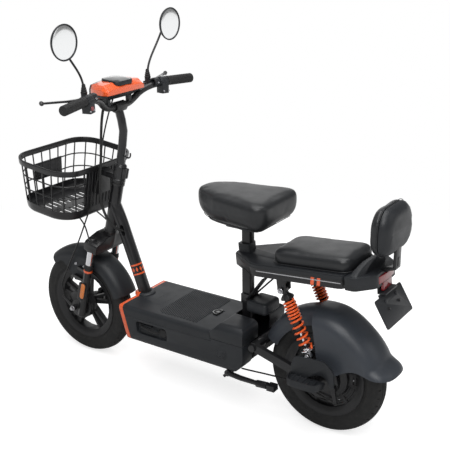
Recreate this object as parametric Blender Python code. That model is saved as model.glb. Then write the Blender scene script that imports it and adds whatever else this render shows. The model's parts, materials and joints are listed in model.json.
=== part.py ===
"""Electric scooter for two: sprung fork, battery deck, sprung swingarm, rack seat, basket and mirrors.

Sizes are in metres and +Z is up. The front wheel is at -X and the rider's right hand is at +Y.
Shapes are written in scooter coordinates, whose X starts at the front axle, or in the coordinates of
the empty that carries them. The root empty then moves the whole scooter so that the world's origin
lies on the ground under its middle.
"""
import math

import bmesh
import bpy
from mathutils import Matrix, Vector

# Fits
GAP = 0.0003
WALL = 0.003

# Wheels and tyres
TYRE_R = 0.191
TYRE_W = 0.063
BEAD_R = 0.127
FLANGE_R = 0.134
WELL_R = 0.112
RIM_WALL = 0.004
WHEEL_SIDES = 24
WHEELBASE = 0.968
AXLE_Z = TYRE_R * math.cos(math.pi / WHEEL_SIDES)
HUB_HALF = 0.045
SPOKES = 5
SPOKE_HALF = 0.011
SPOKE_W = 0.010
FRONT_HUB_R = 0.024
FRONT_DRUM_R = 0.052
MOTOR_R = 0.078
MOTOR_HALF = 0.036
REAR_AXLE_R = 0.007
REAR_DRUM_R = 0.062
WEBS = 6

# Fork and steering, in steering coordinates: Z runs up the steering axis, X points back and down
RAKE = math.radians(14.5)
AXLE_LEAD = 0.0457
AXLE_R = 0.006
LEG_X = -0.018
LEG_Y = 0.067
LEG_R = 0.014
SEAL_R = 0.0155
STANCHION_R = 0.0115
STANCHION_LOW = 0.060
LEG_LOW = -0.025
LEG_TOP = 0.172
FORK_TRAVEL = 0.030
LUG_T = 0.014
LUG_R = 0.016
FRONT_FENDER_R = 0.212
FRONT_FENDER_HALF = 0.050
CROWN_CLEAR = 0.006
CROWN_LOW = FRONT_FENDER_R + FORK_TRAVEL + CROWN_CLEAR
CROWN_BEAM = 0.034
CROWN_HALF = 0.087
HEAD_LOW = 0.305
HEAD_TOP = 0.500
HEAD_R = 0.0205
HEAD_BORE = 0.0165
STEERER_R = 0.0125
LOCK_RING_T = 0.015
CLAMP_TOP = 0.560
CLAMP_R = 0.021
STEM_R = 0.014
FRONT_CAM = (-AXLE_LEAD - 0.030, 0.0, -0.018)

# Handlebar and what it carries, in scooter coordinates
BAR_R = 0.011
BAR_CENTRE = (0.191, 0.0, 0.917)
BAR_LOW = (0.186, 0.062, 0.920)
BAR_RISE = (0.203, 0.109, 0.960)
GRIP_IN = (0.229, 0.199, 0.971)
GRIP_OUT = (0.249, 0.308, 0.966)
PERCH_REACH = 0.060
GRIP_R = 0.016
BUTTON_R = 0.0065
BUTTON_FACE = 0.015
LEVER_T = 0.006
LEVER_L = 0.147
LEVER_RISE = 0.012
COWL_HALF = 0.092
COWL_LOW = 0.966
COWL_TOP = 1.002
COWL_FRONT = 0.118
COWL_BACK = 0.226
BELLY_LOW = 0.932
BELLY_RISE = 0.014
BELLY_FRONT = COWL_FRONT + 0.014
BELLY_BACK = COWL_BACK - 0.030
DISPLAY_X = 0.188
DISPLAY_L = 0.078
DISPLAY_HALF = 0.040
LAMP_R = 0.033
LAMP_Z = 0.950
SADDLE_Y = 0.044
MIRROR_FOOT = (0.188, 0.154, 0.985)
MIRROR_KNEE = (0.189, 0.159, 1.034)
MIRROR_SHOULDER = (0.192, 0.215, 1.105)
MIRROR_CENTRE = (0.218, 0.250, 1.152)
MIRROR_R = 0.054
MIRROR_DEPTH = 0.022
MIRROR_BALL = 0.028
MIRROR_ARM_R = 0.0035
MIRROR_TILT = math.radians(12)

# Basket, in its own tilted coordinates: Z = 0 is the rim's top
BASKET_TILT = math.radians(6.5)
BASKET_X = -0.0195
BASKET_Z = 0.731
BASKET_L = 0.252
BASKET_W = 0.356
BASKET_BASE_L = 0.228
BASKET_BASE_W = 0.310
BASKET_H = 0.185
BASKET_CORNER = 0.078
BASKET_WALL = 0.004
BASKET_RIM_H = 0.019
BASKET_RIM_OUT = 0.006
BASKET_TRAY_H = 0.030
BASKET_BAR = 0.0055

# Down tube and floor of the frame
TUBE_R = 0.021
TUBE_TOP = (0.180, 0.0, 0.509)
TUBE_BEND = (0.194, 0.0, 0.472)
TUBE_DECK = (0.261, 0.0, 0.292)
TUBE_FOOT = (0.300, 0.0, 0.187)
RAIL_Y = 0.045
RAIL_W = 0.022
RAIL_H = 0.020
RAIL_BACK = WHEELBASE - 0.268

# Deck
DECK_FRONT_LOW = 0.272
DECK_FRONT_TOP = 0.250
DECK_BACK = WHEELBASE - 0.225
DECK_LOW = 0.155
DECK_TOP = 0.282
DECK_HALF_LOW = 0.112
DECK_HALF_TOP = 0.1256
DECK_EDGE = 0.014
TRIM_W = 0.015
SEAM_Z = 0.2475
SEAM_BACK_Z = 0.257
SEAM_X = WHEELBASE - 0.348
SEAM_GAP = 0.0008
HUMP_TOP = 0.315
HUMP_RAMP = 0.034
POST_X = WHEELBASE - 0.285
POST_L = 0.032
POST_W = 0.028
POST_SLOT_HALF = 0.036
POST_SLOT_FRONT = POST_X - 0.032
PAD_FRONT = 0.352
PAD_BACK = SEAM_X - 0.075
PAD_HALF = 0.098
PAD_RIBS = 10
PAD_GROOVE = 0.0012
LATCH_X = SEAM_X - 0.052
LATCH_R = 0.020
LATCH_TRAVEL = 0.006
PORT_X0 = 0.318
PORT_X1 = 0.444
PORT_Z0 = 0.192
PORT_Z1 = 0.237
PORT_DEPTH = 0.012
CAP_X = 0.424
CAP_R = 0.015
CAP_T = 0.005
PACK_H = 0.062

# Rear frame, seats and tail, in rack coordinates: X from the post's centre, Z = 0 is the rail's underside
RACK_TILT = math.radians(5.0)
RACK_Z = 0.486
RAIL_TALL = 0.025
RACK_HALF = 0.103
RACK_TUBE = 0.014
RACK_NOSE = -0.026
RACK_NOSE_HALF = 0.030
RACK_SHOULDER = 0.080
RACK_TAIL = 0.384
RACK_CORNER = 0.024
COLLAR_TALL = 0.026
COVER_T = 0.013
TONGUE_TOP = 0.031
CUSHION_FRONT = 0.132
CUSHION_BACK = RACK_TAIL + 0.010
CUSHION_HALF = 0.089
CUSHION_H = 0.040
SEAT_Z = 0.610
SEAT_PAN_T = 0.010
SEAT_FRONT = POST_X - 0.173
SEAT_BACK = POST_X + 0.123
SEAT_HALF = 0.118
SEAT_H = 0.090
SEAT_NOSE = 0.42
SEAT_PAN_IN = 0.044
BACKREST_X = POST_X + 0.467
BACKREST_Z0 = 0.616
BACKREST_Z1 = 0.757
BACKREST_HALF = 0.098
BACKREST_PAD_T = 0.030
BACKREST_SHELL_T = 0.030
STRAP_X = BACKREST_X + 0.020
STRAP_W = 0.032
STRAP_T = 0.009
PLATE_X = POST_X + 0.462
PLATE_Z = 0.495
PLATE_TILT = math.radians(31)
PLATE_W = 0.168
PLATE_H = 0.086
PLATE_T = 0.003

# Swingarm, shocks and rear fender
PIVOT_X = WHEELBASE - 0.204
PIVOT_Z = 0.256
PIVOT_TUBE_R = 0.016
PIVOT_BOLT_R = 0.006
PIVOT_SPLIT = 0.050
PIVOT_HALF = 0.100
ARM_Y = 0.094
ARM_W = 0.016
SHOCK_Y = 0.083
SHOCK_TOP = (WHEELBASE - 0.107, 0.468)
SHOCK_EYE = (WHEELBASE - 0.019, 0.277)
SHOCK_BODY_R = 0.0125
SHOCK_ROD_R = 0.005
SPRING_R = 0.0175
SPRING_TOP = -0.033
SPRING_LOW_FROM_EYE = 0.020
SPRING_WIRE = 0.0034
SPRING_TIGHT = 6
SPRING_OPEN = 5
SPRING_TIGHT_PITCH = 0.0095
REAR_CAM = (WHEELBASE + 0.050, 0.0, AXLE_Z - 0.014)
REAR_FENDER_R = 0.222
REAR_FENDER_HALF = 0.077
REAR_FENDER_NOSE_HALF = 0.045
FLAT_CROWN = ((1.0, 0.034), (0.90, 0.014), (0.50, 0.002))
ROUND_CROWN = ((1.0, 0.052), (0.86, 0.023), (0.46, 0.004))
STAND_X = WHEELBASE - 0.296
STAND_Z = 0.143
STAND_LEN = 0.169
STAND_Y = 0.098

SPOTS = {}


def paint(name, colour, roughness, metallic=0.0):
    """Make a material from its colour, roughness and metallic value."""
    made = bpy.data.materials.new(name)
    made.use_nodes = True
    shader = made.node_tree.nodes["Principled BSDF"]
    shader.inputs["Base Color"].default_value = (*colour, 1.0)
    shader.inputs["Roughness"].default_value = roughness
    shader.inputs["Metallic"].default_value = metallic
    made.diffuse_color = (*colour, 1.0)
    return made


def spot(name, place, turn=None, carrier=None):
    """Add an empty at a place in its carrier's coordinates and remember where it stands."""
    empty = bpy.data.objects.new(name, None)
    bpy.context.collection.objects.link(empty)
    local = Matrix.Translation(place) @ (turn.to_4x4() if turn else Matrix.Identity(4))
    if carrier:
        empty.parent = carrier
        SPOTS[name] = SPOTS[carrier.name] @ local
    else:
        SPOTS[name] = Matrix.Identity(4)
    empty.matrix_basis = local
    return empty


def fit(shape, name, carrier, colour, space=None, angle=35):
    """Name a shape, give it its material and hang it on its carrier.

    The shape's points are in the coordinates of space, or of the scooter where that is not given.
    """
    there = SPOTS[space.name] if space else Matrix.Identity(4)
    shape.data.transform(SPOTS[carrier.name].inverted() @ there)
    shape.name = name
    shape.data.name = name
    shape.parent = carrier
    shape.data.materials.clear()
    shape.data.materials.append(colour)
    shape.data.shade_smooth()
    shape.data.set_sharp_from_angle(angle=math.radians(angle))
    return shape


def shape_from(bm):
    """Turn a bmesh into an object whose faces point outwards."""
    bmesh.ops.recalc_face_normals(bm, faces=bm.faces)
    mesh = bpy.data.meshes.new("shape")
    bm.to_mesh(mesh)
    bm.free()
    shape = bpy.data.objects.new("shape", mesh)
    bpy.context.collection.objects.link(shape)
    return shape


def loft(rings, closed=False):
    """Skin a row of rings with equal counts of points, and cap both ends unless the row is closed."""
    bm = bmesh.new()
    rows = [[bm.verts.new(point) for point in ring] for ring in rings]
    count = len(rows[0])
    pairs = list(zip(rows, rows[1:]))
    if closed:
        pairs.append((rows[-1], rows[0]))
    for low, high in pairs:
        for i in range(count):
            j = (i + 1) % count
            bm.faces.new((low[i], low[j], high[j], high[i]))
    if not closed:
        bm.faces.new(rows[0])
        bm.faces.new(rows[-1])
    return shape_from(bm)


def prism(outline, low, high, axis="Z"):
    """Extrude a flat outline along X, Y or Z. Its points are (y, z), (x, z) or (x, y)."""
    def point(a, b, height):
        return {"X": (height, a, b), "Y": (a, height, b), "Z": (a, b, height)}[axis]
    return loft([[point(a, b, low) for a, b in outline], [point(a, b, high) for a, b in outline]])


def block(x, y, z):
    """A box between pairs of coordinates."""
    return prism([(x[0], y[0]), (x[1], y[0]), (x[1], y[1]), (x[0], y[1])], z[0], z[1])


def soften(corners, steps=3):
    """Round an outline's corners. Each corner is (a, b) or (a, b, radius)."""
    outline = []
    count = len(corners)
    for i, corner in enumerate(corners):
        here = Vector(corner[:2])
        radius = corner[2] if len(corner) > 2 else 0.0
        if radius <= 0:
            outline.append((here.x, here.y))
            continue
        before = (Vector(corners[i - 1][:2]) - here).normalized()
        after = (Vector(corners[(i + 1) % count][:2]) - here).normalized()
        half = before.angle(after) / 2
        centre = here + (before + after).normalized() * radius / math.sin(half)
        start = here + before * radius / math.tan(half) - centre
        end = here + after * radius / math.tan(half) - centre
        sweep = start.angle_signed(end)
        for k in range(steps + 1):
            turn = -sweep * k / steps
            spun = Matrix.Rotation(turn, 2) @ start
            outline.append((centre.x + spun.x, centre.y + spun.y))
    return outline


def drawn_in(corners, inset):
    """Move a convex outline's edges inwards. Each corner is (a, b, radius)."""
    outline = []
    count = len(corners)
    for i, corner in enumerate(corners):
        here = Vector(corner[:2])
        before = (Vector(corners[i - 1][:2]) - here).normalized()
        after = (Vector(corners[(i + 1) % count][:2]) - here).normalized()
        place = here + (before + after).normalized() * inset / math.sin(before.angle(after) / 2)
        outline.append((place.x, place.y, max(corner[2] - inset, 0.002)))
    return outline


def box_outline(length, width, radius, centre=(0.0, 0.0), steps=3):
    """A rectangle with round corners."""
    a, b = length / 2, width / 2
    corners = [(-a, -b), (a, -b), (a, b), (-a, b)]
    return soften([(centre[0] + u, centre[1] + v, radius) for u, v in corners], steps)


def circle(radius, sides, centre=(0.0, 0.0)):
    """Points round a circle."""
    return [(centre[0] + radius * math.cos(math.tau * i / sides),
             centre[1] + radius * math.sin(math.tau * i / sides)) for i in range(sides)]


def slot_outline(start, end, radius, steps=4):
    """A stadium around the line from start to end."""
    run = Vector(end) - Vector(start)
    heading = math.atan2(run.y, run.x)
    outline = []
    for centre, first in ((start, heading + math.pi / 2), (end, heading - math.pi / 2)):
        for k in range(steps + 1):
            a = first + math.pi * k / steps
            outline.append((centre[0] + radius * math.cos(a), centre[1] + radius * math.sin(a)))
    return outline


def turned(profile, sides=24, centre=(0.0, 0.0, 0.0), axis="Z", phase=0.0):
    """Turn a closed profile of (radius, height) points about an axis. Points on the axis become poles."""
    bm = bmesh.new()
    spin = {"Z": Matrix.Identity(3), "Y": Matrix.Rotation(-math.pi / 2, 3, "X"),
            "X": Matrix.Rotation(math.pi / 2, 3, "Y")}[axis]
    rows = []
    for radius, height in profile:
        if radius < 1e-7:
            rows.append([bm.verts.new(Vector(centre) + spin @ Vector((0, 0, height)))])
            continue
        ring = []
        for i in range(sides):
            a = phase + math.tau * i / sides
            flat = Vector((radius * math.cos(a), radius * math.sin(a), height))
            ring.append(bm.verts.new(Vector(centre) + spin @ flat))
        rows.append(ring)
    for low, high in zip(rows, rows[1:] + rows[:1]):
        if len(low) == 1 and len(high) == 1:
            continue
        for i in range(sides):
            j = (i + 1) % sides
            corners = [low[i % len(low)], low[j % len(low)], high[j % len(high)], high[i % len(high)]]
            bm.faces.new(list(dict.fromkeys(corners)))
    return shape_from(bm)


def rod(radius, low, high, sides=8, centre=(0.0, 0.0, 0.0), axis="Z"):
    """A round bar."""
    return turned([(0, low), (radius, low), (radius, high), (0, high)], sides, centre, axis)


def hole(radius, low, high, sides=12, centre=(0.0, 0.0, 0.0), axis="Z"):
    """A bar to cut a bore with: its flats, and not its corners, stand at the radius."""
    return rod(radius / math.cos(math.pi / sides), low, high, sides, centre, axis)


def pipe(outer, bore, low, high, sides=12, centre=(0.0, 0.0, 0.0), axis="Z"):
    """A round tube."""
    return turned([(bore, low), (outer, low), (outer, high), (bore, high)], sides, centre, axis)


def smooth_path(points, steps=4):
    """Points on a smooth curve through the given ones."""
    stops = [Vector(p) for p in points]
    stops = [2 * stops[0] - stops[1]] + stops + [2 * stops[-1] - stops[-2]]
    path = []
    for before, here, after, beyond in zip(stops, stops[1:], stops[2:], stops[3:]):
        for k in range(steps):
            t = k / steps
            path.append(0.5 * (2 * here + (after - before) * t
                               + (2 * before - 5 * here + 4 * after - beyond) * t * t
                               + (3 * here - before - 3 * after + beyond) * t ** 3))
    path.append(stops[-2])
    return path


def tube(points, radius, sides=12):
    """Sweep a circle along points. The radius may be one value or one for each point."""
    path = [Vector(p) for p in points]
    radii = radius if isinstance(radius, list) else [radius] * len(path)
    ways = [(b - a).normalized() for a, b in zip(path, path[1:])]
    tangents = [ways[0]] + [(a + b).normalized() for a, b in zip(ways, ways[1:])] + [ways[-1]]
    side = tangents[0].orthogonal().normalized()
    rings = []
    for place, way, size in zip(path, tangents, radii):
        side = (side - way * side.dot(way)).normalized()
        up = way.cross(side)
        rings.append([place + size * (side * math.cos(math.tau * i / sides)
                                      + up * math.sin(math.tau * i / sides)) for i in range(sides)])
    return loft(rings)


def wire(points, radius, resolution=2):
    """A cable: a curve through its points with a round bevel and filled caps."""
    curve = bpy.data.curves.new("wire", "CURVE")
    curve.dimensions = "3D"
    curve.bevel_depth = radius
    curve.bevel_resolution = resolution
    curve.use_fill_caps = True
    curve.render_resolution_u = 0
    line = curve.splines.new("POLY")
    line.points.add(len(points) - 1)
    for target, point in zip(line.points, points):
        target.co = (*point, 1.0)
    line.use_smooth = True
    cable = bpy.data.objects.new("wire", curve)
    bpy.context.collection.objects.link(cable)
    return cable


def hang_wire(cable, name, carrier, colour):
    """Name a cable drawn in scooter coordinates and hang it on its carrier."""
    cable.data.transform(SPOTS[carrier.name].inverted())
    cable.name = name
    cable.data.name = name
    cable.parent = carrier
    cable.data.materials.append(colour)
    return cable


def tidied(mesh):
    """Weld stray points and drop needless edges, as far as the mesh stays closed."""
    for weld, flatten in ((0.00001, True), (0.00003, True), (0.00001, False), (0.0, True)):
        bm = bmesh.new()
        bm.from_mesh(mesh)
        bmesh.ops.remove_doubles(bm, verts=bm.verts, dist=weld)
        if flatten:
            bmesh.ops.dissolve_limit(bm, angle_limit=0.002, verts=bm.verts, edges=bm.edges)
        closed = all(edge.is_manifold for edge in bm.edges)
        if closed:
            bm.to_mesh(mesh)
        bm.free()
        if closed:
            break
    return mesh


def combine(base, tools, operation):
    """Apply one Boolean after another and drop the tools."""
    for tool in tools:
        step = base.modifiers.new("step", "BOOLEAN")
        step.operation = operation
        step.solver = "EXACT"
        step.object = tool
        graph = bpy.context.evaluated_depsgraph_get()
        mesh = bpy.data.meshes.new_from_object(base.evaluated_get(graph))
        base.modifiers.clear()
        base.data = tidied(mesh)
        bpy.data.objects.remove(tool, do_unlink=True)
    return base


def join(base, *tools):
    """Weld shapes into one."""
    return combine(base, tools, "UNION")


def cut(base, *tools):
    """Take shapes away from another."""
    return combine(base, tools, "DIFFERENCE")


def common(base, *tools):
    """Keep what shapes share."""
    return combine(base, tools, "INTERSECT")


def moved(shape, matrix):
    """Move a shape's points."""
    shape.data.transform(matrix)
    if matrix.determinant() < 0:
        shape.data.flip_normals()
    return shape


def across(point):
    """The same place on the other side of the scooter."""
    return (point[0], -point[1], point[2])


def side_of(point, side):
    """A place on the right side, or its mirror where side is -1."""
    return (point[0], point[1] * side, point[2])


def tyre(centre):
    """A tyre: a ring with straight beads, round sides and a flat facet on the ground."""
    half = TYRE_W / 2
    bead = 0.81 * half
    outer = [(BEAD_R, bead), (FLANGE_R + 0.0015, bead), (FLANGE_R + 0.020, half),
             (TYRE_R - 0.014, 0.94 * half), (TYRE_R - 0.003, 0.62 * half), (TYRE_R, 0.26 * half)]
    profile = outer + [(r, -y) for r, y in reversed(outer)]
    return turned(profile, WHEEL_SIDES, centre, "Y", math.pi / WHEEL_SIDES)


def rim(centre):
    """The rim's channel, between its flanges and down to its well."""
    seat = BEAD_R - GAP
    flange = 0.81 * TYRE_W / 2 + GAP
    edge = flange + 0.0027
    half = [(FLANGE_R, edge), (FLANGE_R, flange), (seat, flange), (WELL_R, flange - 0.012)]
    back = [(WELL_R - RIM_WALL, edge - 0.010)]
    profile = half + [(r, -y) for r, y in reversed(half)] + [(r, -y) for r, y in reversed(back)] + back
    return turned(profile, WHEEL_SIDES, centre, "Y", math.pi / WHEEL_SIDES)


def around(shape, centre, angle):
    """Turn a shape about a wheel's axle."""
    pivot = Matrix.Translation(centre)
    return moved(shape, pivot @ Matrix.Rotation(angle, 4, "Y") @ pivot.inverted())


def front_wheel(centre):
    """A cast wheel: five twin spokes, a hub and the brake's drum on its left."""
    made = rim(centre)
    x, y, z = centre
    spokes = []
    for i in range(SPOKES):
        for side in (-1, 1):
            root = 0.006 * side
            tip = 0.017 * side
            half = SPOKE_W / 2
            reach = WELL_R - RIM_WALL / 2
            bar = prism([(x + root - half, z + 0.8 * FRONT_HUB_R), (x + root + half, z + 0.8 * FRONT_HUB_R),
                         (x + tip + half, z + reach), (x + tip - half, z + reach)],
                        y - SPOKE_HALF, y + SPOKE_HALF, "Y")
            spokes.append(around(bar, centre, math.tau * i / SPOKES))
    hub = turned([(0, -HUB_HALF), (FRONT_HUB_R, -HUB_HALF + 0.004), (FRONT_HUB_R, 0.020),
                  (0.018, HUB_HALF), (0, HUB_HALF)], 10, centre, "Y")
    drum = turned([(0, -0.040), (FRONT_DRUM_R, -0.040), (FRONT_DRUM_R, -0.020), (0.042, -0.012),
                   (0, -0.012)], 14, centre, "Y")
    made = join(made, hub, drum, *spokes)
    bore = hole(AXLE_R + GAP, -0.08, 0.08, 8, centre, "Y")
    hollow = turned([(AXLE_R, -0.060), (FRONT_DRUM_R - 0.005, -0.060), (FRONT_DRUM_R - 0.005, -0.024),
                     (AXLE_R, -0.024)], 14, centre, "Y")
    return cut(made, bore, hollow)


def rear_wheel(centre):
    """A rim carried on a hub motor by six short webs, each with a window."""
    made = rim(centre)
    x, y, z = centre
    webs = []
    for i in range(WEBS):
        low = MOTOR_R - 0.008
        high = WELL_R - RIM_WALL / 2
        corners = [(-0.020, low), (0.020, low), (0.027, high), (-0.027, high)]
        web = prism([(x + u, z + v) for u, v in corners], y - 0.011, y + 0.011, "Y")
        mid = (MOTOR_R + WELL_R) / 2
        window = block((x - 0.013, x + 0.013), (y - 0.03, y + 0.03), (z + mid - 0.006, z + mid + 0.006))
        webs.append(around(cut(web, window), centre, math.tau * (i + 0.5) / WEBS))
    profile = [(0, -HUB_HALF), (0.019, -HUB_HALF), (0.022, -MOTOR_HALF - 0.002), (0.062, -MOTOR_HALF),
               (MOTOR_R, -MOTOR_HALF + 0.012)]
    profile += [(r, -h) for r, h in reversed(profile)]
    made = join(made, turned(profile, 18, centre, "Y"), *webs)
    return cut(made, hole(REAR_AXLE_R + GAP, -0.08, 0.08, 10, centre, "Y"))


def arch(radius, half, start, end, drops, centre, steps=16, tail=None, solid=False, section=FLAT_CROWN):
    """A mudguard: an arched section carried round the axle from one angle to another.

    drops gives how far the sides hang below the crown at an angle, and tail how far the crown moves
    out there. Angles are measured from +X towards +Z. The section's points are (share of the half
    width, distance below the crown).
    """
    rings = []
    thick = WALL
    for k in range(steps + 1):
        a = start + (end - start) * k / steps
        wide = half
        drop = drops(a)
        lift = tail(a) if tail else 0.0
        outer = []
        inner = []
        left = [(-u, v) for u, v in section]
        for u, v in [(-1.0, drop)] + left + list(section[::-1]) + [(1.0, drop)]:
            reach = radius + lift - v
            outer.append((reach, u * wide))
            inner.append((reach - thick * (1.0 if v < drop else 0.0), u * (wide - thick)))
        ring = []
        for reach, y in outer + ([] if solid else inner[::-1]):
            ring.append((centre[0] + reach * math.cos(a), centre[1] + y, centre[2] + reach * math.sin(a)))
        rings.append(ring)
    return loft(rings)


def ease(value, low, high):
    """Rise smoothly from 0 at low to 1 at high."""
    t = min(max((value - low) / (high - low), 0.0), 1.0)
    return t * t * (3 - 2 * t)


def front_fender():
    """The mudguard on the fork's sliding part, with a deep side towards its bolts."""
    first = math.radians(20) + RAKE
    last = math.radians(128) + RAKE

    def drop(a):
        middle = math.radians(88) + RAKE
        bump = 1.0 - ease(abs(a - middle), math.radians(9), math.radians(30))
        return 0.040 + 0.078 * bump

    return arch(FRONT_FENDER_R, FRONT_FENDER_HALF, first, last, drop, (-AXLE_LEAD, 0, 0), 11)


def fork_crown():
    """Beam, stanchions and steerer: the part of the fork that turns but doesn't slide."""
    low = CROWN_LOW
    top = HEAD_LOW - 0.004
    w = CROWN_HALF
    side = low + CROWN_BEAM
    outline = soften([(-w, low, 0.006), (w, low, 0.006), (w, side, 0.010), (0.030, top, 0.012),
                      (-0.030, top, 0.012), (-w, side, 0.010)], 2)
    beam = prism(outline, LEG_X - 0.017, 0.019, "X")
    sleeves = []
    for side_y in (-LEG_Y, LEG_Y):
        place = (LEG_X, side_y, 0)
        sleeves.append(rod(0.0185, low - 0.002, side + 0.004, 8, place))
        sleeves.append(turned([(0, STANCHION_LOW), (STANCHION_R, STANCHION_LOW), (STANCHION_R, side + 0.002),
                               (0.0145, side + 0.0035), (0.0145, side + 0.011), (0.010, side + 0.014),
                               (0, side + 0.014)], 8, place))
    seat = HEAD_BORE - GAP
    steerer = turned([(0, low + 0.010), (0.022, low + 0.010), (0.022, HEAD_LOW - GAP), (seat, HEAD_LOW - GAP),
                      (seat, HEAD_LOW + 0.012), (STEERER_R, HEAD_LOW + 0.015),
                      (STEERER_R, HEAD_TOP - 0.015), (seat, HEAD_TOP - 0.012), (seat, HEAD_TOP - GAP),
                      (STEERER_R, HEAD_TOP - GAP), (STEERER_R, CLAMP_TOP - 0.004), (0, CLAMP_TOP - 0.004)],
                      10)
    return join(beam, *sleeves, steerer)


def fork_lowers():
    """Both lower legs, joined by the axle, with the brake's back plate on the left."""
    legs = []
    for side in (-1, 1):
        y = LEG_Y * side
        place = (LEG_X, y, 0)
        leg = turned([(0, LEG_LOW), (LEG_R - 0.003, LEG_LOW), (LEG_R, LEG_LOW + 0.004),
                      (LEG_R, LEG_TOP - 0.014), (SEAL_R, LEG_TOP - 0.012), (SEAL_R, LEG_TOP - 0.001),
                      (SEAL_R - 0.002, LEG_TOP), (0, LEG_TOP)], 8, place)
        lug = prism(soften([(-AXLE_LEAD - LUG_R, -LUG_R, 0.012), (LEG_X, -LUG_R - 0.006, 0.006),
                            (LEG_X + 0.006, 0.050, 0.004), (LEG_X - 0.006, 0.050, 0.004),
                            (-AXLE_LEAD - LUG_R, LUG_R, 0.012)], 2),
                    y - LUG_T / 2, y + LUG_T / 2, "Y")
        reflector = block((LEG_X - LEG_R - 0.004, LEG_X), sorted((y + 0.007 * side, y + 0.0175 * side)),
                          (0.045, 0.112))
        mounts = []
        for turn, reach in ((math.radians(93), 0.112), (math.radians(84), 0.147)):
            a = turn + RAKE
            spot_x = -AXLE_LEAD + reach * math.cos(a)
            spot_z = reach * math.sin(a)
            near = FRONT_FENDER_HALF + GAP
            arm = block((spot_x - 0.005, LEG_X), sorted((side * near, side * (LEG_Y - 0.006))),
                        (spot_z - 0.005, spot_z + 0.005))
            mounts.append(arm)
        legs += [leg, lug, reflector, *mounts]
    axle = turned([(0, -0.088), (0.0105, -0.088), (0.0105, -0.073), (0.0095, -HUB_HALF - GAP),
                   (AXLE_R, -HUB_HALF - GAP), (AXLE_R, HUB_HALF + GAP), (0.0095, HUB_HALF + GAP),
                   (0.0105, 0.073), (0.0105, 0.088), (0, 0.088)], 8, (-AXLE_LEAD, 0, 0), "Y")
    plate = turned([(0, -0.0525), (0.030, -0.0525), (FRONT_DRUM_R, -0.050), (FRONT_DRUM_R, -0.0405),
                    (FRONT_DRUM_R - 0.003, -0.0405), (FRONT_DRUM_R - 0.004, -0.0455), (0, -0.0455)],
                   14, (-AXLE_LEAD, 0, 0), "Y")
    made = join(legs[0], *legs[1:], axle, plate)
    bores = [rod(STANCHION_R + GAP / math.cos(math.pi / 8), STANCHION_LOW - FORK_TRAVEL - 0.004,
                 LEG_TOP + 0.01, 8,
                 (LEG_X, LEG_Y * side, 0)) for side in (-1, 1)]
    cam = hole(0.0053, -0.060, -0.047, 10, FRONT_CAM, "Y")
    return cut(made, *bores, cam)


def brake_arm(pivot, tip, low, high, stub):
    """A drum brake's arm and cam spindle. The arm lies between two Y values, the spindle reaches stub."""
    run = Vector(tip) - Vector(pivot)
    heading = math.atan2(run.y, run.x)
    across_way = Vector((-math.sin(heading), math.cos(heading)))
    a = Vector(pivot)
    b = Vector(tip)
    outline = [a + across_way * 0.0075, b + across_way * 0.005, b - across_way * 0.005,
               a - across_way * 0.0075]
    arm = prism([(p.x, p.y) for p in outline], low, high, "Y")
    ends = [rod(0.009, low - 0.0004, high + 0.0004, 10, (a.x, 0, a.y), "Y"),
            rod(0.006, low - 0.0004, high + 0.0004, 8, (b.x, 0, b.y), "Y")]
    spindle = rod(0.005, min(stub, low), max(stub, high - 0.001), 10, (a.x, 0, a.y), "Y")
    made = join(arm, *ends, spindle)
    return cut(made, rod(0.0022, low - 0.01, high + 0.01, 6, (b.x, 0, b.y), "Y"))


def bar_path():
    """The handlebar's centre line from the left end to the right one."""
    inward = (Vector(GRIP_IN) - Vector(GRIP_OUT)).normalized()
    straight = Vector(GRIP_IN) + inward * PERCH_REACH
    half = [BAR_CENTRE, (BAR_CENTRE[0], 0.034, BAR_CENTRE[2]), BAR_LOW, BAR_RISE, straight]
    half = smooth_path(half, 2)[:-1] + [straight, Vector(GRIP_OUT)]
    left = [Vector(across(p)) for p in reversed(half)]
    return left[:-1] + half


def handlebar():
    """The bent bar."""
    return tube(bar_path(), BAR_R, 10)


def grip_shape(flange_r, closed_by=0.003):
    """A ribbed grip along Z from 0, closed at its end, to slip over the bar."""
    length = (Vector(GRIP_OUT) - Vector(GRIP_IN)).length
    bore = (BAR_R + GAP) / math.cos(math.pi / 10)
    profile = [(bore, 0), (flange_r, 0), (flange_r, 0.004), (GRIP_R, 0.006)]
    ribs = 3
    start = 0.010
    pitch = (length - 0.018) / ribs
    for i in range(ribs):
        z = start + pitch * i
        profile += [(GRIP_R, z), (GRIP_R - 0.001, z + 0.5 * pitch)]
    profile += [(GRIP_R, length - 0.003), (GRIP_R - 0.003, length + closed_by), (0, length + closed_by),
                (0, length + GAP), (bore, length + GAP)]
    return turned(profile, 10)


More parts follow.
